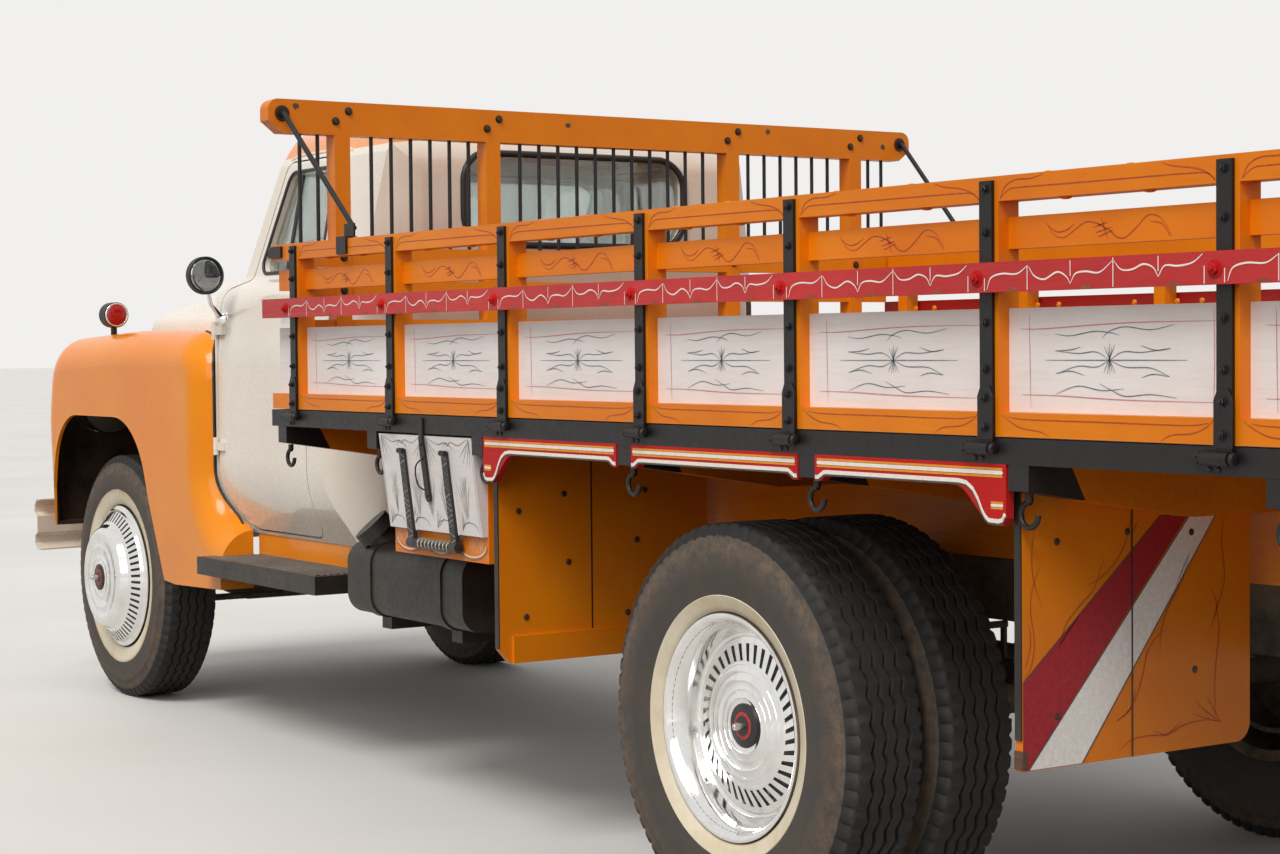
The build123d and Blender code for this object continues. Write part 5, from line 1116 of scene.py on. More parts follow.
fanSteps = ((0.010, 0.085), (0.026, 0.080), (0.044, 0.070), (0.058, 0.054), (0.004, 0.050))
lowFan = ((0.006, 0.052), (0.018, 0.048), (0.030, 0.040), (0.042, 0.030))
swag = ((0, 0.004), (0.12, 0.012), (0.28, 0.022), (0.42, 0.016), (0.5, 0.024), (0.58, 0.014), (0.74, 0.022),
        (0.9, 0.010), (1, 0.004))
shortSwag = ((0.38, 0.030), (0.46, 0.016), (0.56, 0.026), (0.62, 0.034))
grass = ((0.060, 6, 0.018, 0.090), (0.190, 8, 0.030, 0.110), (0.262, 8, 0.034, 0.120),
         (0.345, 7, 0.030, 0.110), (0.455, 9, 0.034, 0.115))


def slopeBoard(s, top, low, lift=0.0007):  # the sloping face between two edges, each a (y, z)
    top, low = (Vector((at(s["front"]), *edge)) for edge in (top, low))
    return Board(top, (-1, 0, 0), top - low, Vector((-1, 0, 0)).cross(top - low), lift)


def lidBoard(s):
    return slopeBoard(s, (s["topY"], s["topZ"]), (s["lowY"], s["lowZ"]))


def fanInto(bm, board, root, ends, width):
    for end in ends:
        middle = [(a + b) / 2 + random.uniform(-0.004, 0.004) for a, b in zip(root, end)]
        brushInto(bm, board, (root, middle, end), width)


def crossInto(bm, board, middle, reach, rows, width, material, straight=False):  # two strokes that cross
    high, low = rows
    for a, b in ((-reach[0], reach[1]), (reach[0], -reach[1])):
        brushInto(bm, board, ((middle + a, high), (middle + b, low)), width, material, straight=straight)


def lidPaint(s):
    bm = bmesh.new()
    board = lidBoard(s)
    length, line = s["front"] - s["rear"], s["width"]
    # along the top a wavy line in two swags, with fans from the corners and from the middle
    for start in (0.012, length / 2 + 0.012):
        wide = length / 2 - 0.024
        for points in (swag, shortSwag):
            brushInto(bm, board, [(start + wide * u, -v) for u, v in points], line)
        for root, turn in ((start, 1), (start + wide, -1)):
            fanInto(bm, board, (root, -0.006), [(root + turn * u, -v) for u, v in fanSteps], 0.0016)
    # bunches of grass strokes down the middle of each panel
    for root, count, spread, tall in grass:
        for k in range(count):
            share = k / (count - 1) - 0.5
            foot = (root + share * spread * 0.35, -0.225 + abs(share) * 0.02)
            lean = root + share * spread * 2.2 + random.uniform(-0.006, 0.006)
            tip = (lean, foot[1] + tall * (1 - 0.5 * abs(share)) + random.uniform(-0.01, 0.01))
            middle = ((foot[0] + tip[0]) / 2 - share * 0.006, (foot[1] + tip[1]) / 2)
            brushInto(bm, board, (foot, middle, tip), 0.0015, random.choice((0, 1)))
    for root in (0.062, 0.195, 0.345, 0.455):
        for shift in (-0.007, 0, 0.007):
            crossInto(bm, board, root + shift, (0.014, 0.014), (-0.105, -0.165), 0.0014, 1)
    # arches along the foot with a fan in each
    for start, end in ((0.014, 0.100), (0.150, 0.240), (0.282, 0.372), (0.420, 0.508)):
        brushInto(bm, board, arch((start + end) / 2, -0.256, (end - start) / 2, 0.026), line)
        fanInto(bm, board, (start, -0.254), [(start + u, -0.254 + v) for u, v in lowFan], 0.0015)
    for end in (0.006, length - 0.006):
        brushInto(bm, board, ((end, -0.004), (end, -0.130), (end, -0.258)), 0.0014)
    addPiece("lidLines", bm, "tool_box_lid_body", ("lineSoot", "lineAsh"))


strapRoll = ((0.0065, 0), (0.0075, 0.002), (0.0075, 0.029), (0.0065, 0.031))
haspShape = ((0.010, 0.0), (0.0125, -0.030), (0.0118, -0.150), (0.0135, -0.166), (0.010, -0.178),
             (0.0, -0.183))
handleLine = ((0.008, -0.064, 0.008), (0.022, -0.070, 0.012), (0.036, -0.084, 0.016), (0.037, -0.110, 0.018),
              (0.034, -0.136, 0.016), (0.022, -0.146, 0.012), (0.008, -0.150, 0.008))


def lacedStraps(s):  # each strap's rolled top end, then lacing wound round it
    bm = bmesh.new()
    strip = slopeBoard(s, (1.206, 1.072), (1.176, 0.812), 0.0004)
    half, edge = 0.0152, ((-0.0152, 0.0002), (-0.006, 0.0012), (0.006, 0.0012), (0.0152, 0.0002))
    for station in s["straps"]:
        along = s["front"] - station
        studInto(bm, strip.spot(along - 0.0155, -0.004, 0.001), strip.across, strapRoll, 14)
        for k in range(34):
            if k < 4 or 14 < k < 27 or k % 3 == 0:
                place, lean = -0.016 - k * 0.0070, 0.0065 if k % 2 else -0.0065
                rows = [[bm.verts.new(strip.spot(along + u, place + lean * u / half + up,
                                                 lift)) for u, lift in edge]
                        for up in (0.0, 0.0020)]
                sweepInto(bm, rows, 1 if k % 5 in (0, 3) else 2, closed=False)
    addPiece("lidLacing", bm, "tool_box_lid_body", ("blackIron", "lineAsh", "lineSoot"),
             outward=True)


def lidHasp(s):  # it hangs from the rim: a tapered plate with a wire handle beside it
    bm = bmesh.new()
    board, station = lidBoard(s), at(s["hasp"])
    along = s["front"] - s["hasp"]
    outline = [(along + u, v) for u, v in haspShape] + [(along - u, v) for u, v in reversed(haspShape[:-1])]
    back, front = ([bm.verts.new(board.spot(u, v, lift)) for u, v in outline] for lift in (0.004, 0.0095))
    sweepInto(bm, (back, front))
    bm.faces.new(front)
    bm.faces.new(back[::-1])
    for v in (-0.022, -0.060, -0.164):
        studInto(bm, board.spot(along, v, 0.0090), board.out, domeHead(0.0062, 0.0042), 14)
    boxInto(bm, (station - 0.012, 1.196, 1.112), (station + 0.012, 1.2105, 1.160), 0, 0.001)
    addPiece("lidHasp", bm, chassis, ("blackIron",), outward=True)
    handle = [board.spot(along - u, v, w) for u, v, w in handleLine]
    addTube("haspHandle", [handle], 0.0022, chassis, "blackIron")


# the apron under the lid: three painted scallops and crossed strokes
def apronPaint(s):
    bm = bmesh.new()
    board = Board((at(s["front"]), 1.1506, 0.860), (-1, 0, 0), skyward, (0, 1, 0), lift=0.0006)
    for start, end in ((0.0, 0.168), (0.176, 0.346), (0.354, 0.522)):
        for inset, width, paint in ((0.004, 0.0026, 1), (0.011, 0.0040, 0)):
            points = arch((start + end) / 2, -0.040, (end - start) / 2 - inset, 0.042 - inset, 1, 12)
            brushInto(bm, board, points, width, paint, taper=False)
    for root in (0.030, 0.075, 0.440, 0.485):
        for k in range(5):
            crossInto(bm, board, root + (k - 2) * 0.0066, (0.020, 0.016), (-0.012, -0.058), 0.0018, 0,
                      straight=True)
    brushInto(bm, board, ((0.150, -0.010), (0.200, -0.016), (0.255, -0.010), (0.300, -0.018),
                          (0.370, -0.010)), 0.0022, 1)
    addPiece("apronLines", bm, chassis, ("lineCream", "lineSoot"))


def rollerLacing():  # cross lacing round the black roller between the straps
    bm = bmesh.new()
    y, z, radius, half = 1.170, 0.812, 0.0158, 0.0011
    for k in range(9):
        for lean in (0.018, -0.018):
            rows = []
            for i in range(9):
                angle, x = math.radians(-100 + 200 * i / 8), at(1.205) + k * 0.0205 + lean * (i / 8 - 0.5)
                rows.append([(x + u, y + radius * math.cos(angle), z + radius * math.sin(angle))
                             for u in (-half, half)])
            for a, b in zip(rows, rows[1:]):
                sweepInto(bm, [[bm.verts.new(p) for p in row] for row in (a, b)], closed=False)
    addPiece("rollerLacing", bm, chassis, ("lineCream",), outward=True)


def lidIrons(tree, place):  # the strips stand proud of the sloping lid, and their rollers hang under it
    slope, foot = 0.1288, 0.846
    proud = calc(tree, "ADD", place["Y"], times(tree, place["Z"], -slope))
    return calc(tree, "MAXIMUM", beyond(tree, proud, 1.167 - slope * 0.848 + 0.003),
                calc(tree, "LESS_THAN", place["Z"], foot))


def boxRoller(tree, place):
    return times(tree, beyond(tree, place["Y"], 1.1515), calc(tree, "LESS_THAN", place["Z"], 0.842))


dress("tool_box_lid", twoToneFinish("whiteLidBlackIrons", whiteWood, blackIron, lidIrons), 0.002)
dress("tool_box", twoToneFinish("orangeBoxBlackRoller", orangeWood, blackIron, boxRoller), 0.002)
for fit in (lidPaint, lacedStraps, lidHasp, apronPaint):
    fit(lidLook)
rollerLacing()
print("tool box is lined")


# cab: places read off the body's own skin, so that rubber and trim lie on it
def skinOf(*nodes):
    meshes = [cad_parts[node].data for node in nodes]
    return [BVHTree.FromPolygons([v.co for v in m.vertices], [p.vertices for p in m.polygons])
            for m in meshes]


def meet(trees, start, direction):  # the first place that a line from the start meets, or nothing
    hits = [tree.ray_cast(Vector(start), Vector(direction)) for tree in trees]
    hits = [(distance, place) for place, _, _, distance in hits if place is not None]
    return min(hits, key=lambda hit: hit[0])[1] if hits else None


def beside(trees, sign, x, z, reach=1.4):  # the same, looking in from one side of the truck
    return meet(trees, (x, sign * reach, z), (0, -sign, 0))


def found(places):
    return [place for place in places if place is not None]


def between(a, b, parts):
    return [a + (b - a) * k / parts for k in range(parts + 1)]


# a closed outline with its corners rounded, moved out by grow
def roundedLine(corners, radii, grow=0.0, parts=6):
    points = []
    for i, radius in enumerate(radii):
        here, before, after = (Vector(corners[k % len(corners)]) for k in (i, i - 1, i + 1))
        a, b = (before - here).normalized(), (after - here).normalized()
        half = a.angle(b) / 2
        centre = here + (a + b).normalized() * (radius / math.sin(half))
        first, last = here + a * radius / math.tan(half), here + b * radius / math.tan(half)
        for k in range(parts + 1):
            mix = (first - centre).lerp(last - centre, k / parts).normalized()
            points.append(centre + mix * (radius + grow))
    return [(p.x, p.y) for p in points]


def outline(corners, radii, grow):
    return roundedLine([(at(u), v) for u, v in corners], radii, grow)


cabLook = {
    "glass": ((2.800, 1.622), (2.800, 1.958), (3.132, 1.958), (3.262, 1.622)),
    "glassRounds": (0.040, 0.060, 0.050, 0.030),
    "door": ((2.725, 0.716), (2.725, 2.004), (3.172, 2.004), (3.322, 1.600), (3.440, 1.566), (3.440, 0.716)),
    "doorRounds": (0.060, 0.090, 0.060, 0.030, 0.030, 0.210),
    "rear": (0.432, 1.698, 1.988, 0.090), "front": (0.640, 1.668, 1.972, 0.070), "rubber": 0.0115,
    "posts": (("ventPost", (3.088, 1.628), (3.078, 1.952), 0.0075, "gasketRubber"),
              ("ventTrim", (3.098, 1.630), (3.088, 1.950), 0.0032, "brightChrome")),
    "hinges": (1.010, 1.420), "hingeHalf": 0.055, "rail": (2.700, 3.165), "railHeight": 2.022,
    "handle": (2.800, 1.500), "handleBase": ((0.026, -0.002), (0.026, 0.004), (0.020, 0.008),
                                             (0.012, 0.010), (0.011, 0.034), (0.004, 0.036)),
    # the grip from its base: ahead, outward and up
    "grip": ((-0.012, 0.032, 0), (0.010, 0.034, 0.001), (0.050, 0.036, -0.001), (0.090, 0.034, -0.006),
             (0.112, 0.029, -0.010)),
}


def windowRubber(s):
    shell = skinOf("cab_shell")
    for name, (half, low, high, radius), start, aim in (
            ("rearWindowRubber", s["rear"], at(2.0), (1, 0, 0)),
            ("windshieldRubber", s["front"], at(4.4), (-1, 0, 0))):
        line = roundedLine(((-half, low), (-half, high), (half, high), (half, low)), (radius,) * 4, 0.007)
        places = found(meet(shell, (start, y, z), aim) for y, z in line)
        addTube(name, [[p - Vector(aim) * 0.001 for p in places]], s["rubber"], chassis, "gasketRubber",
                closed=True)
    for side, sign in sides:
        body, trees = f"door_{side}_body", skinOf(f"door_{side}")
        places = found(beside(trees, sign, x, z) for x, z in outline(s["glass"], s["glassRounds"], 0.006))
        addTube(f"doorWindowRubber_{side}", [places], 0.0065, body, "gasketRubber", closed=True)
        # the quarter light's post, with its own frame
        glass = skinOf(f"door_glass_{side}")
        for name, low, high, radius, paint in s["posts"]:
            run = zip(between(low[0], high[0], 8), between(low[1], high[1], 8))
            points = found(beside(glass, sign, at(u), v) for u, v in run)
            addTube(f"{name}_{side}", [[p + Vector((0, sign * 0.002, 0)) for p in points]], radius, body, paint)


# a rubber seal behind the door's gap, a drip rail over it, and the door's chrome handle
def doorTrim(s):
    for side, sign in sides:
        shell, skin, body = skinOf("cab_shell"), skinOf(f"door_{side}"), f"door_{side}_body"
        # the seal's line beside the line just outside the gap, where the shell gives its depth
        lines = list(zip(*(outline(s["door"], s["doorRounds"], grow) for grow in (-0.002, 0.012))))
        dense = []
        for start, end in zip(lines, lines[1:] + lines[:1]):
            steps = max(1, round((Vector(end[0]) - Vector(start[0])).length / 0.06))
            for k in range(steps):
                dense.append([tuple(Vector(a).lerp(Vector(b), k / steps)) for a, b in zip(start, end)])
        runs, points = [], []
        for (x, z), wide in dense + dense[:1]:
            hinge = x > at(3.43) and min(abs(z - h) for h in s["hinges"]) < s["hingeHalf"]
            place = None if hinge else beside(shell, sign, *wide)
            if place is not None:
                points.append((x, place.y - sign * 0.005, z))
            elif len(points) > 1:
                runs.append(points)
                points = []
        addTube(f"doorSeal_{side}", runs + [points], 0.0021, chassis, "gasketRubber", smooth=False)
        rail = [(at(s["rail"][0]) + (at(s["rail"][1]) - at(s["rail"][0])) * k / 12,
                 s["railHeight"] - (0.012 if k in (0, 12) else 0.0)) for k in range(13)]
        addTube(f"dripRail_{side}", [found(beside(shell, sign, x, z) for x, z in rail)], 0.0055, chassis,
                "creamGloss")
        bm = bmesh.new()
        base = beside(skin, sign, at(s["handle"][0]), s["handle"][1])
        studInto(bm, base, (0, sign, 0), s["handleBase"], 24)
        addPiece(f"handleBase_{side}", bm, body, ("brightChrome",), True)
        grip = [base + Vector((ahead, sign * out, up)) for ahead, out, up in s["grip"]]
        addTube(f"handleGrip_{side}", [grip], 0.0072, body, "brightChrome")


# black welt where each fender meets the cab: found where the fender's rounded edge comes out of the skin
weltLook = {"front": at(3.448), "radius": 0.218, "low": 0.926, "high": 1.232, "upperRadius": 0.190,
            "width": 0.0042,
            "step": 0.0015}


def bearings(start, end, step):  # cosine and sine of each angle in degrees
    return [(math.cos(math.radians(a)), math.sin(math.radians(a))) for a in range(start, end, step)]


def fenderWelt(s):
    front, radius, low, high, upper = (s[k] for k in ("front", "radius", "low", "high", "upperRadius"))
    # each place on the edge, with the way out from it
    rim = [(front - radius + radius * c, low - radius * d, c, -d) for c, d in bearings(60, -1, -6)]
    rim += [(front, z, 1, 0) for z in between(low, high, 8)[1:]]
    rim += [(front + upper * (1 - c), high + upper * d, c, -d) for c, d in bearings(6, 89, 6)]
    for side, sign in sides:
        fender, body = skinOf(f"fender_{side}"), skinOf("cab_shell", f"door_{side}")
        points = []
        for x, z, alongX, alongZ in rim:
            for step in range(1, 60):
                spot = (x + alongX * step * s["step"], z + alongZ * step * s["step"])
                outer, inner = beside(fender, sign, *spot), beside(body, sign, *spot)
                if outer is not None and (inner is None or sign * outer.y > sign * inner.y + 0.0015):
                    points.append((spot[0], outer.y + sign * 0.0005, spot[1]))
                    break
        if len(points) > 4:
            addTube(f"fenderWelt_{side}", [points], s["width"], chassis, "gasketRubber")


windowRubber(cabLook)
doorTrim(cabLook)
fenderWelt(weltLook)


# the fender's inner faces: where the surface looks back at the fender's middle it is a dark brown-black
def darkInsideFinish(name):
    material, tree, shader = newSheet(name)
    place, normal = axes(tree), axes(tree, put(tree, "NewGeometry").outputs["True Normal"])
    reach = calc(tree, "ABSOLUTE", place["Y"])
    lengthwise, upright = (times(tree, calc(tree, "SUBTRACT", place[key], middle), normal[key])
                           for key, middle in (("X", at(4.35)), ("Z", 0.80)))
    outward = times(tree, normal["Y"], calc(tree, "SIGN", place["Y"]))
    across = times(tree, outward, calc(tree, "SUBTRACT", reach, 0.60))
    total = calc(tree, "ADD", calc(tree, "ADD", lengthwise, upright), across)
    inside = times(tree, calc(tree, "LESS_THAN", total, 0.0), calc(tree, "LESS_THAN", reach, 0.9165))
    slow = ramp(tree, noise(tree, 2.2, 5, 0.6), (0.3, 0.0), (0.72, 1.0))
    paint = chipped(tree, twoTones(tree, orangeMetal, slow), orangeMetal["chips"], orangeMetal["under"])
    cloud = ramp(tree, noise(tree, 5.5, 7, 0.7), (0.35, 0.05), (0.65, 0.3))
    dust = times(tree, heightFade(tree, 0.30, 0.95), cloud, clamp=True)
    paint = blendColour(tree, dust, paint, colour("B08A58"))
    insideTone = ramp(tree, noise(tree, 9, 7, 0.7), (0.35, 0.0), (0.7, 1.0))
    insideTone = blendColour(tree, insideTone, colour("1E1815"), colour("4A3526"))
    gloss = ramp(tree, noise(tree, 60, 6, 0.65), (0.3, 0.18), (0.75, 0.3))
    feed(tree, shader, {"Base Color": blendColour(tree, inside, paint, insideTone),
                        "Roughness": calc(tree, "MAXIMUM", gloss, times(tree, inside, 0.85)),
                        "Coat Weight": 0.22, "Coat Roughness": 0.07, "Specular IOR Level": 0.2})
    bumps(tree, shader, (noise(tree, 380, 2, 0.5), 0.035, 0.001))
    return material


finishes["orangeWithDarkInside"] = darkInsideFinish("orangeWithDarkInside")
dress("fender_left", finishes["orangeWithDarkInside"])
dress("fender_right", finishes["orangeWithDarkInside"])


def ringAround(x, y, z, radius, parts=28):  # a ring that faces forward
    angles = [2 * math.pi * k / parts for k in range(parts)]
    return [(x, y + radius * math.cos(a), z + radius * math.sin(a)) for a in angles]


# lamps: glasses with moulded flutes in bright rims
lampLook = {
    # place, its way, radius, how far the glass stands out, its finish, the rim's radius and the flutes
    "headlampGlass": ((at(5.096), 0.690, 1.130), 1, 0.098, 0.030, "clearLens", 0.0085, 9),
    "markerRed": ((at(4.600) - 0.030, 0.800, 1.494), -1, 0.043, 0.014, "redGlass", 0.0035, 0),
    "markerAmber": ((at(4.600) + 0.030, 0.800, 1.494), 1, 0.043, 0.014, "amberGlass", 0.0035, 0),
    "tailGlass_0": ((-3.7356, 0.720, 1.050), -1, 0.041, 0.013, "amberGlass", 0.003, 0),
    "tailGlass_1": ((-3.7356, 0.900, 1.050), -1, 0.041, 0.013, "redGlass", 0.003, 0),
}


def lampGlass(name, place, way, radius, high, material, rim, flutes):
    bm = bmesh.new()
    x, y, z = place
    dome = [(radius * math.cos(math.radians(a)), high * math.sin(math.radians(a)))
            for a in (0, 12, 26, 42, 58, 74, 87)]
    studInto(bm, place, (way, 0, 0), dome, 44)
    for k in range(flutes):
        offset = (k - (flutes - 1) / 2) * 2 * radius * 0.86 / flutes
        half = math.sqrt(max((radius * 0.9) ** 2 - offset ** 2, 0.0))
        lines = []
        for up in between(-half, half, 8):
            lift = high * math.sqrt(max(1 - (offset ** 2 + up ** 2) / radius ** 2, 0.0)) + 0.0006
            lines.append([(x + way * (lift + out), y + offset + w, z + up)
                          for w, out in ((-0.0035, 0.0), (0.0, 0.0012), (0.0035, 0.0))])
        for ends in zip(lines, lines[1:]):
            sweepInto(bm, [[bm.verts.new(p) for p in line] for line in ends], closed=False)
    addPiece(name, bm, chassis, (material,), smooth=True, outward=True)
    addTube(f"{name}Rim", [ringAround(x + way * 0.002, y, z, radius + 0.001)], rim, chassis, "brightChrome",
            closed=True)


for side, sign in sides:
    for name, ((x, y, z), *look) in lampLook.items():
        kind, *number = name.split("_")
        lampGlass("_".join((kind, side, *number)), (x, sign * y, z), *look)

# mirrors: silvered glass in its bezel, a bright stem and foot
mirrorLook = {
    "centre": (3.300, 0.970, 1.610), "elbow": (3.356, 0.925, 1.512), "foot": (3.403, 0.870, 1.462),
    "bezel": 0.063,
    "glass": ((0.060, 0), (0.060, 0.0008), (0.045, 0.0016), (0.02, 0.0022), (0.001, 0.0024)),
    "back": ((0.066, -0.004), (0.062, 0.004), (0.048, 0.011), (0.026, 0.015), (0.001, 0.016)),
    "footSteps": ((0.024, -0.002), (0.024, 0.004), (0.017, 0.012), (0.010, 0.020), (0.008, 0.026)),
    "footTall": 1.25,
}


def mirrorTrim(s):
    for side, sign in sides:
        body = f"door_{side}_body"
        centre, elbow, foot = (Vector((at(s[k][0]), sign * s[k][1], s[k][2])) for k in ("centre", "elbow",
            "foot"))
        bm = bmesh.new()
        studInto(bm, centre + Vector((-0.0122, 0, 0)), (-1, 0, 0), s["glass"], 44)
        addPiece(f"mirrorGlass_{side}", bm, body, ("silveredGlass",), smooth=True)
        ring = ringAround(centre.x - 0.0125, centre.y, centre.z, s["bezel"])
        addTube(f"mirrorBezel_{side}", [ring], 0.0036, body, "gasketRubber", closed=True)
        bm = bmesh.new()
        studInto(bm, centre + Vector((0.0098, 0, 0)), (1, 0, 0), s["back"], 40)
        addPiece(f"mirrorBack_{side}", bm, body, ("blackIron",), smooth=True)
        stem = [foot, elbow, centre.lerp(elbow, 0.42)]
        addTube(f"mirrorStem_{side}", [stem], 0.0074, body, "brightChrome", smooth=False)
        bm = bmesh.new()
        base = beside(skinOf(f"door_{side}"), sign, foot.x, foot.z)
        studInto(bm, base, (0, sign, 0), s["footSteps"], 28)
        for v in bm.verts:
            v.co.z = base.z + (v.co.z - base.z) * s["footTall"]
        addPiece(f"mirrorFoot_{side}", bm, body, ("brightChrome",), smooth=True)


mirrorTrim(mirrorLook)
print("cab is trimmed")

# bench seat: a sprung base, a crowned cushion and a crowned back, both sewn in channels
seatLook = {
    # ahead and up, each low and high, and how far the top leans back
    "half": 0.596, "seatCushion": ((2.600, 2.962), (1.066, 1.208), "z", 0.0),
    "seatBack": ((2.464, 2.618), (1.150, 1.688), "x", 0.050),
    "channels": 11, "groove": 0.010, "puff": 0.006, "crown": 0.004, "pull": 0.03, "power": 7, "fill": 0.7,
}


def seatForm(name, s):
    (rear, front), (low, high), crown, lean = s[name]
    size = (front - rear, 2 * s["half"], high - low)
    place = Vector((at((rear + front) / 2), 0, (low + high) / 2))
    channels, power = s["channels"], s["power"]
    bm = bmesh.new()
    bmesh.ops.create_cube(bm, size=1.0)
    bmesh.ops.subdivide_edges(bm, edges=bm.edges, cuts=15, use_grid_fill=True)
    wide = [e for e in bm.edges if abs(e.verts[0].co.y - e.verts[1].co.y) > 1e-5]
    bmesh.ops.subdivide_edges(bm, edges=wide, cuts=5, use_grid_fill=True)
    for v in bm.verts:
        x, y, z = (2 * c for c in v.co)
        # rounded block whose sides pull in between its corners
        length = (abs(x) ** power + abs(y) ** (power * 2) + abs(z) ** power) ** (1 / power)
        out = Vector((x * size[0], y * size[1], z * size[2])) / (2 * max(length, 1e-6))
        out.x *= 1 - s["pull"] * (1 - abs(y) ** 4)
        channel = (y * 0.5 + 0.5) * channels
        crest, other, edge = (z, x, 0.75) if crown == "z" else (x, z, 0.6)
        sewn = 0 < round(channel) < channels and abs(crest) > edge
        groove = math.exp(-((channel - round(channel)) / 0.10) ** 2) * sewn
        puff = 0.5 + 0.5 * math.cos(2 * math.pi * (channel - 0.5))
        swell = s["puff"] * (puff - 2) - s["groove"] * groove + s["crown"] * (1 - other * other)
        if crest > 0 and crown == "z":
            out.z += swell
        elif crest > 0:
            out.x += swell - lean * (out.z / size[2] + 0.5)
        v.co = out + place
    piece = addPiece(name, bm, chassis, ("seatHide",), smooth=True)
    soft = piece.modifiers.new("softer", "SUBSURF")
    soft.levels = soft.render_levels = 1
    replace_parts(piece, "seat")


def seatBase():
    bm = bmesh.new()
    boxInto(bm, (at(2.475), -0.558, 0.9005), (at(2.880), 0.558, 1.068), 0, 0.006)
    boxInto(bm, (at(2.884), -0.40, 0.930), (at(2.889), 0.40, 1.040), 1, 0.002)
    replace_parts(addPiece("seatBase", bm, chassis, ("blackIron", "gasketRubber")), "seat")


seatForm("seatCushion", seatLook)
seatForm("seatBack", seatLook)
seatBase()
print("seat is sewn")


# bolts and small irons of the bed, the frame and the front
restLook = {
    "beams": (2.190, 1.600, 1.000, 0.298, -0.410, -1.065, -1.700, -2.180), "deckTop": 1.168,
    "posts": (0.471, 1.004),
    "deckBolt": ((0.0075, 0), (0.0075, 0.0006), (0.006, 0.0014), (0.002, 0.0018)),
    # height and sideways shift of each bolt in a headboard post
    "postBolts": ((2.078, -0.022), (2.046, 0.022), (1.631, 0.0), (1.530, 0.0), (1.403, 0.0), (1.256, 0.0),
                  (1.205, 0.02)),
    "postNut": ((0.013, -0.0004), (0.013, 0.0018), (0.0085, 0.002), (0.0085, 0.0072), (0.0068, 0.0085)),
    "eyePlate": ((0.024, -0.001), (0.024, 0.003), (0.021, 0.0038), (0.011, 0.004), (0.010, 0.011),
                 (0.006, 0.013)),
    "knots": ((1.16, 2.086), (0.19, 2.070), (-0.62, 2.083), (-1.13, 2.050)),
    # low and high end, axle and reach of the U-bolts
    "springY": 0.373, "clamps": ((0.405, 0.662, at(0.0), 0.064), (0.420, 0.600, at(4.430), 0.052)),
    "rivets": (-2.05, -1.80, -1.42, -1.05, -0.55, 0.50, 0.90, 1.30, 1.90, 2.30, 2.80, 3.20, 3.60, 4.10),
    "step": (2.425, 3.310), "stepTop": 0.630,
    "rib": ((-0.0062, -0.0004), (-0.0046, 0.0022), (0.0046, 0.0022), (0.0062, -0.0004)),
}


def deckBolts(s):
    bm = bmesh.new()
    for beam in s["beams"]:
        if abs(beam) >= 2.15:
            beam *= 0.985
        for k in range(-7, 8):
            y = k * 0.150 + random.uniform(-0.006, 0.006)
            for shift in (-0.014, 0.014):
                place = (at(beam) + shift + random.uniform(-0.002, 0.002), y + shift, s["deckTop"] - 0.0003)
                studInto(bm, place, skyward, s["deckBolt"], 12)
    addPiece("deckBolts", bm, chassis, ("darkBolt",))


def headboardBolts(s):
    bm = bmesh.new()
    tree, behind, ahead = skinOf("headboard_frame"), at(1.9), at(2.35)
    for y in [sign * post for post in s["posts"] for sign in (1, -1)]:
        for z, shift in s["postBolts"]:
            place = meet(tree, (behind, y + shift, z), (1, 0, 0))
            if place is not None:
                studInto(bm, place, (-1, 0, 0), s["postNut"], 12, 0, random.uniform(0, 1))
            place = meet(tree, (ahead, y + shift, z), (-1, 0, 0))
            if place is not None:
                studInto(bm, place, (1, 0, 0), domeHead(0.0105, 0.0045), 14)
    for sign in (1, -1):  # eye plates for the stay rods
        place = meet(tree, (behind, sign * 1.205, 2.062), (1, 0, 0))
        if place is not None:
            studInto(bm, place, (-1, 0, 0), s["eyePlate"], 24)
    addPiece("headboardBolts", bm, chassis, ("darkBolt",))
    # worn knots in the top beam
    bm = bmesh.new()
    for place in found(meet(tree, (behind, y, z), (1, 0, 0)) for y, z in s["knots"]):
        board, shape = Board(place, (0, -1, 0), skyward, (-1, 0, 0), lift=0.0006), []
        for angle in (2 * math.pi * k / 11 for k in range(11)):
            wide, tall = (half + random.uniform(-0.003, 0.003) for half in (0.011, 0.009))
            shape.append((wide * math.cos(angle), tall * math.sin(angle)))
        patchInto(bm, board, shape)
    addPiece("beamKnots", bm, chassis, ("knotBrown",))


def runningGearIrons(s):
    bm = bmesh.new()
    for sign in (1, -1):
        middle = sign * s["springY"]
        for low, high, axle, reach in s["clamps"]:
            for x in (axle - reach, axle + reach):
                for y in (middle - 0.044, middle + 0.044):
                    studInto(bm, (x, y, low), skyward, ((0.0085, 0), (0.0085, high - low)), 12)
                    studInto(bm, (x, y, low - 0.002), skyward, ((0.014, 0), (0.014, 0.012)), 6)
                boxInto(bm, (x - 0.009, middle - 0.052, high - 0.010),
                        (x + 0.009, middle + 0.052, high + 0.006), 0, 0.003)
            boxInto(bm, (axle - reach - 0.016, middle - 0.056, low + 0.010),
                    (axle + reach + 0.016, middle + 0.056, low + 0.022), 0, 0.002)
    addPiece("springBolts", bm, chassis, ("chassisBlack",))
    bm = bmesh.new()
    tree = skinOf("frame_rails")
    for sign in (1, -1):
        for place in found(beside(tree, sign, at(station) + shift, z, 0.7)
                           for station in s["rivets"] for shift in (-0.030, 0.030) for z in (0.722, 0.800)):
            if abs(place.y) > 0.40:
                studInto(bm, place, (0, sign, 0), domeHead(0.0105, 0.0055), 12)
    addPiece("frameRivets", bm, chassis, ("chassisBlack",))


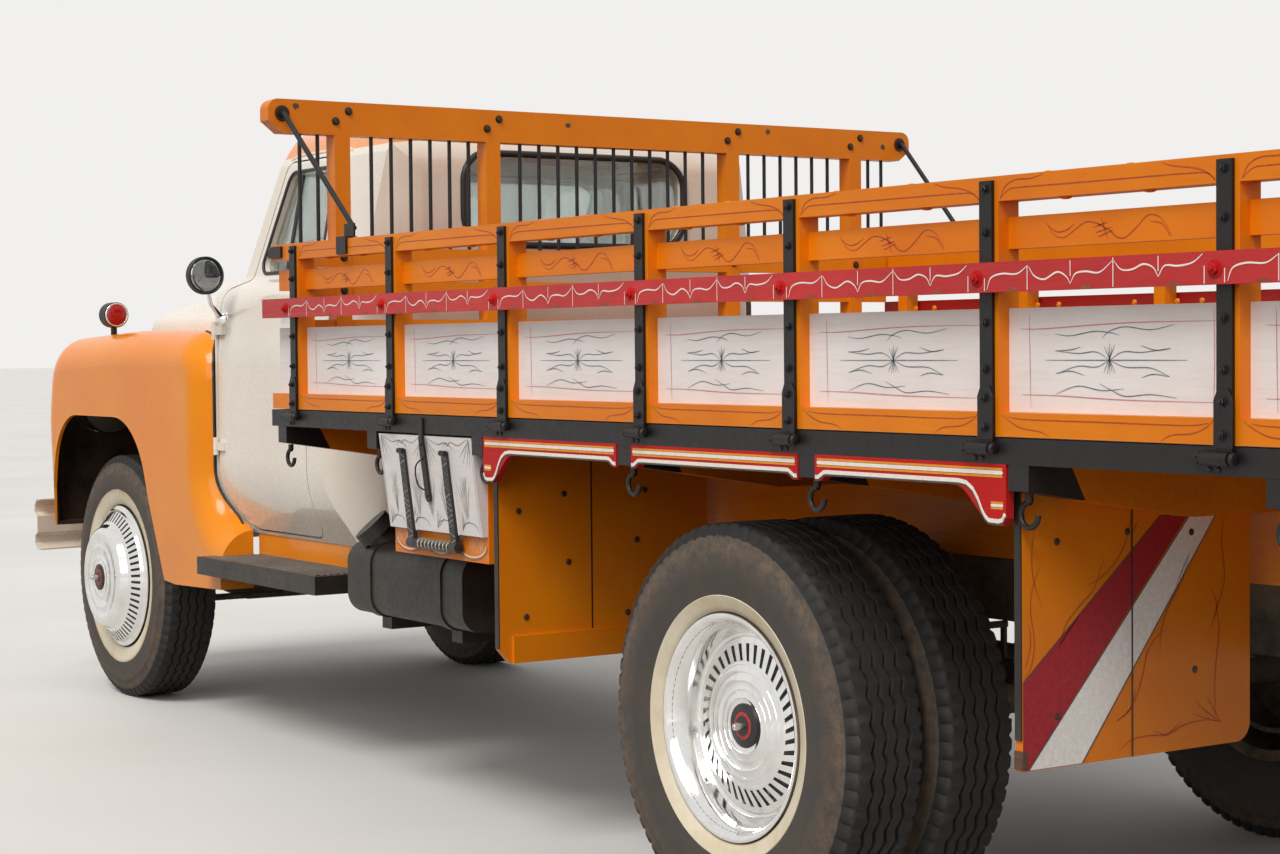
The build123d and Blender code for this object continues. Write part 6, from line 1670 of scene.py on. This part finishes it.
def frontTrim(s):
    bm = bmesh.new()
    tree = skinOf("front_bumper")
    for place in found(meet(tree, (at(5.6), y, z), (-1, 0, 0)) for y in (-0.415, 0.415) for z in (0.605,
        0.668)):
        studInto(bm, place, (1, 0, 0), domeHead(0.014, 0.006), 20)
    addPiece("bumperBolts", bm, chassis, ("brightChrome",), smooth=True)
    line = roundedLine(((-0.400, 0.830), (-0.400, 1.215), (0.400, 1.215), (0.400, 0.830)), (0.090,) * 4,
                       0.004)
    line = [(at(5.060) + 0.001, y, z) for y, z in line]
    addTube("grilleTrim", [line], 0.0062, chassis, "brightChrome", closed=True)
    # ribs of rubber along the running boards, worn pale
    bm = bmesh.new()
    tree, top = skinOf("running_boards"), s["stepTop"]
    for sign in (1, -1):
        for k in range(10):
            y = sign * (0.765 + k * 0.0235)
            rows = []
            for x in between(at(s["step"][0]), at(s["step"][1]), 24):
                place = meet(tree, (x, y, 0.9), (0, 0, -1))
                flat = place is not None and abs(place.z - top) <= 0.003
                rows.append([bm.verts.new((x, y + w, top + up)) for w, up in s["rib"]] if flat else None)
            for pair in zip(rows, rows[1:]):
                if all(pair):
                    sweepInto(bm, pair, closed=False)
    addPiece("stepRibs", bm, chassis, ("stepRubber",), outward=True)


for fit in (deckBolts, headboardBolts, runningGearIrons, frontTrim):
    fit(restLook)
print("bolts and small irons are set")


# the floor: pale to the eye and in reflections, and a street's grey in what it throws back on the truck
def pourFloor(s):
    bm = bmesh.new()
    bmesh.ops.create_grid(bm, x_segments=6, y_segments=6, size=s["floorSize"])
    mesh = bpy.data.meshes.new("floor")
    bm.to_mesh(mesh)
    bm.free()
    floor = bpy.data.objects.new("floor", mesh)
    bpy.context.scene.collection.objects.link(floor)
    material, tree, shader = newSheet("paleFloor")
    cloud = ramp(tree, noise(tree, 0.6, 4, 0.5), (0.3, 0.0), (0.7, 1.0))
    tone = blendColour(tree, cloud, colour(s["floor"]), colour(s["floorShade"]))
    bounce = calc(tree, "SUBTRACT", 1.0, paleRays(tree))
    feed(tree, shader, {"Base Color": blendColour(tree, bounce, tone, colour(s["floorBounce"])),
                        "Roughness": 0.75})
    mesh.materials.append(material)


pourFloor(studio)
bpy.context.scene.view_settings.view_transform = "Standard"
print("floor is poured")
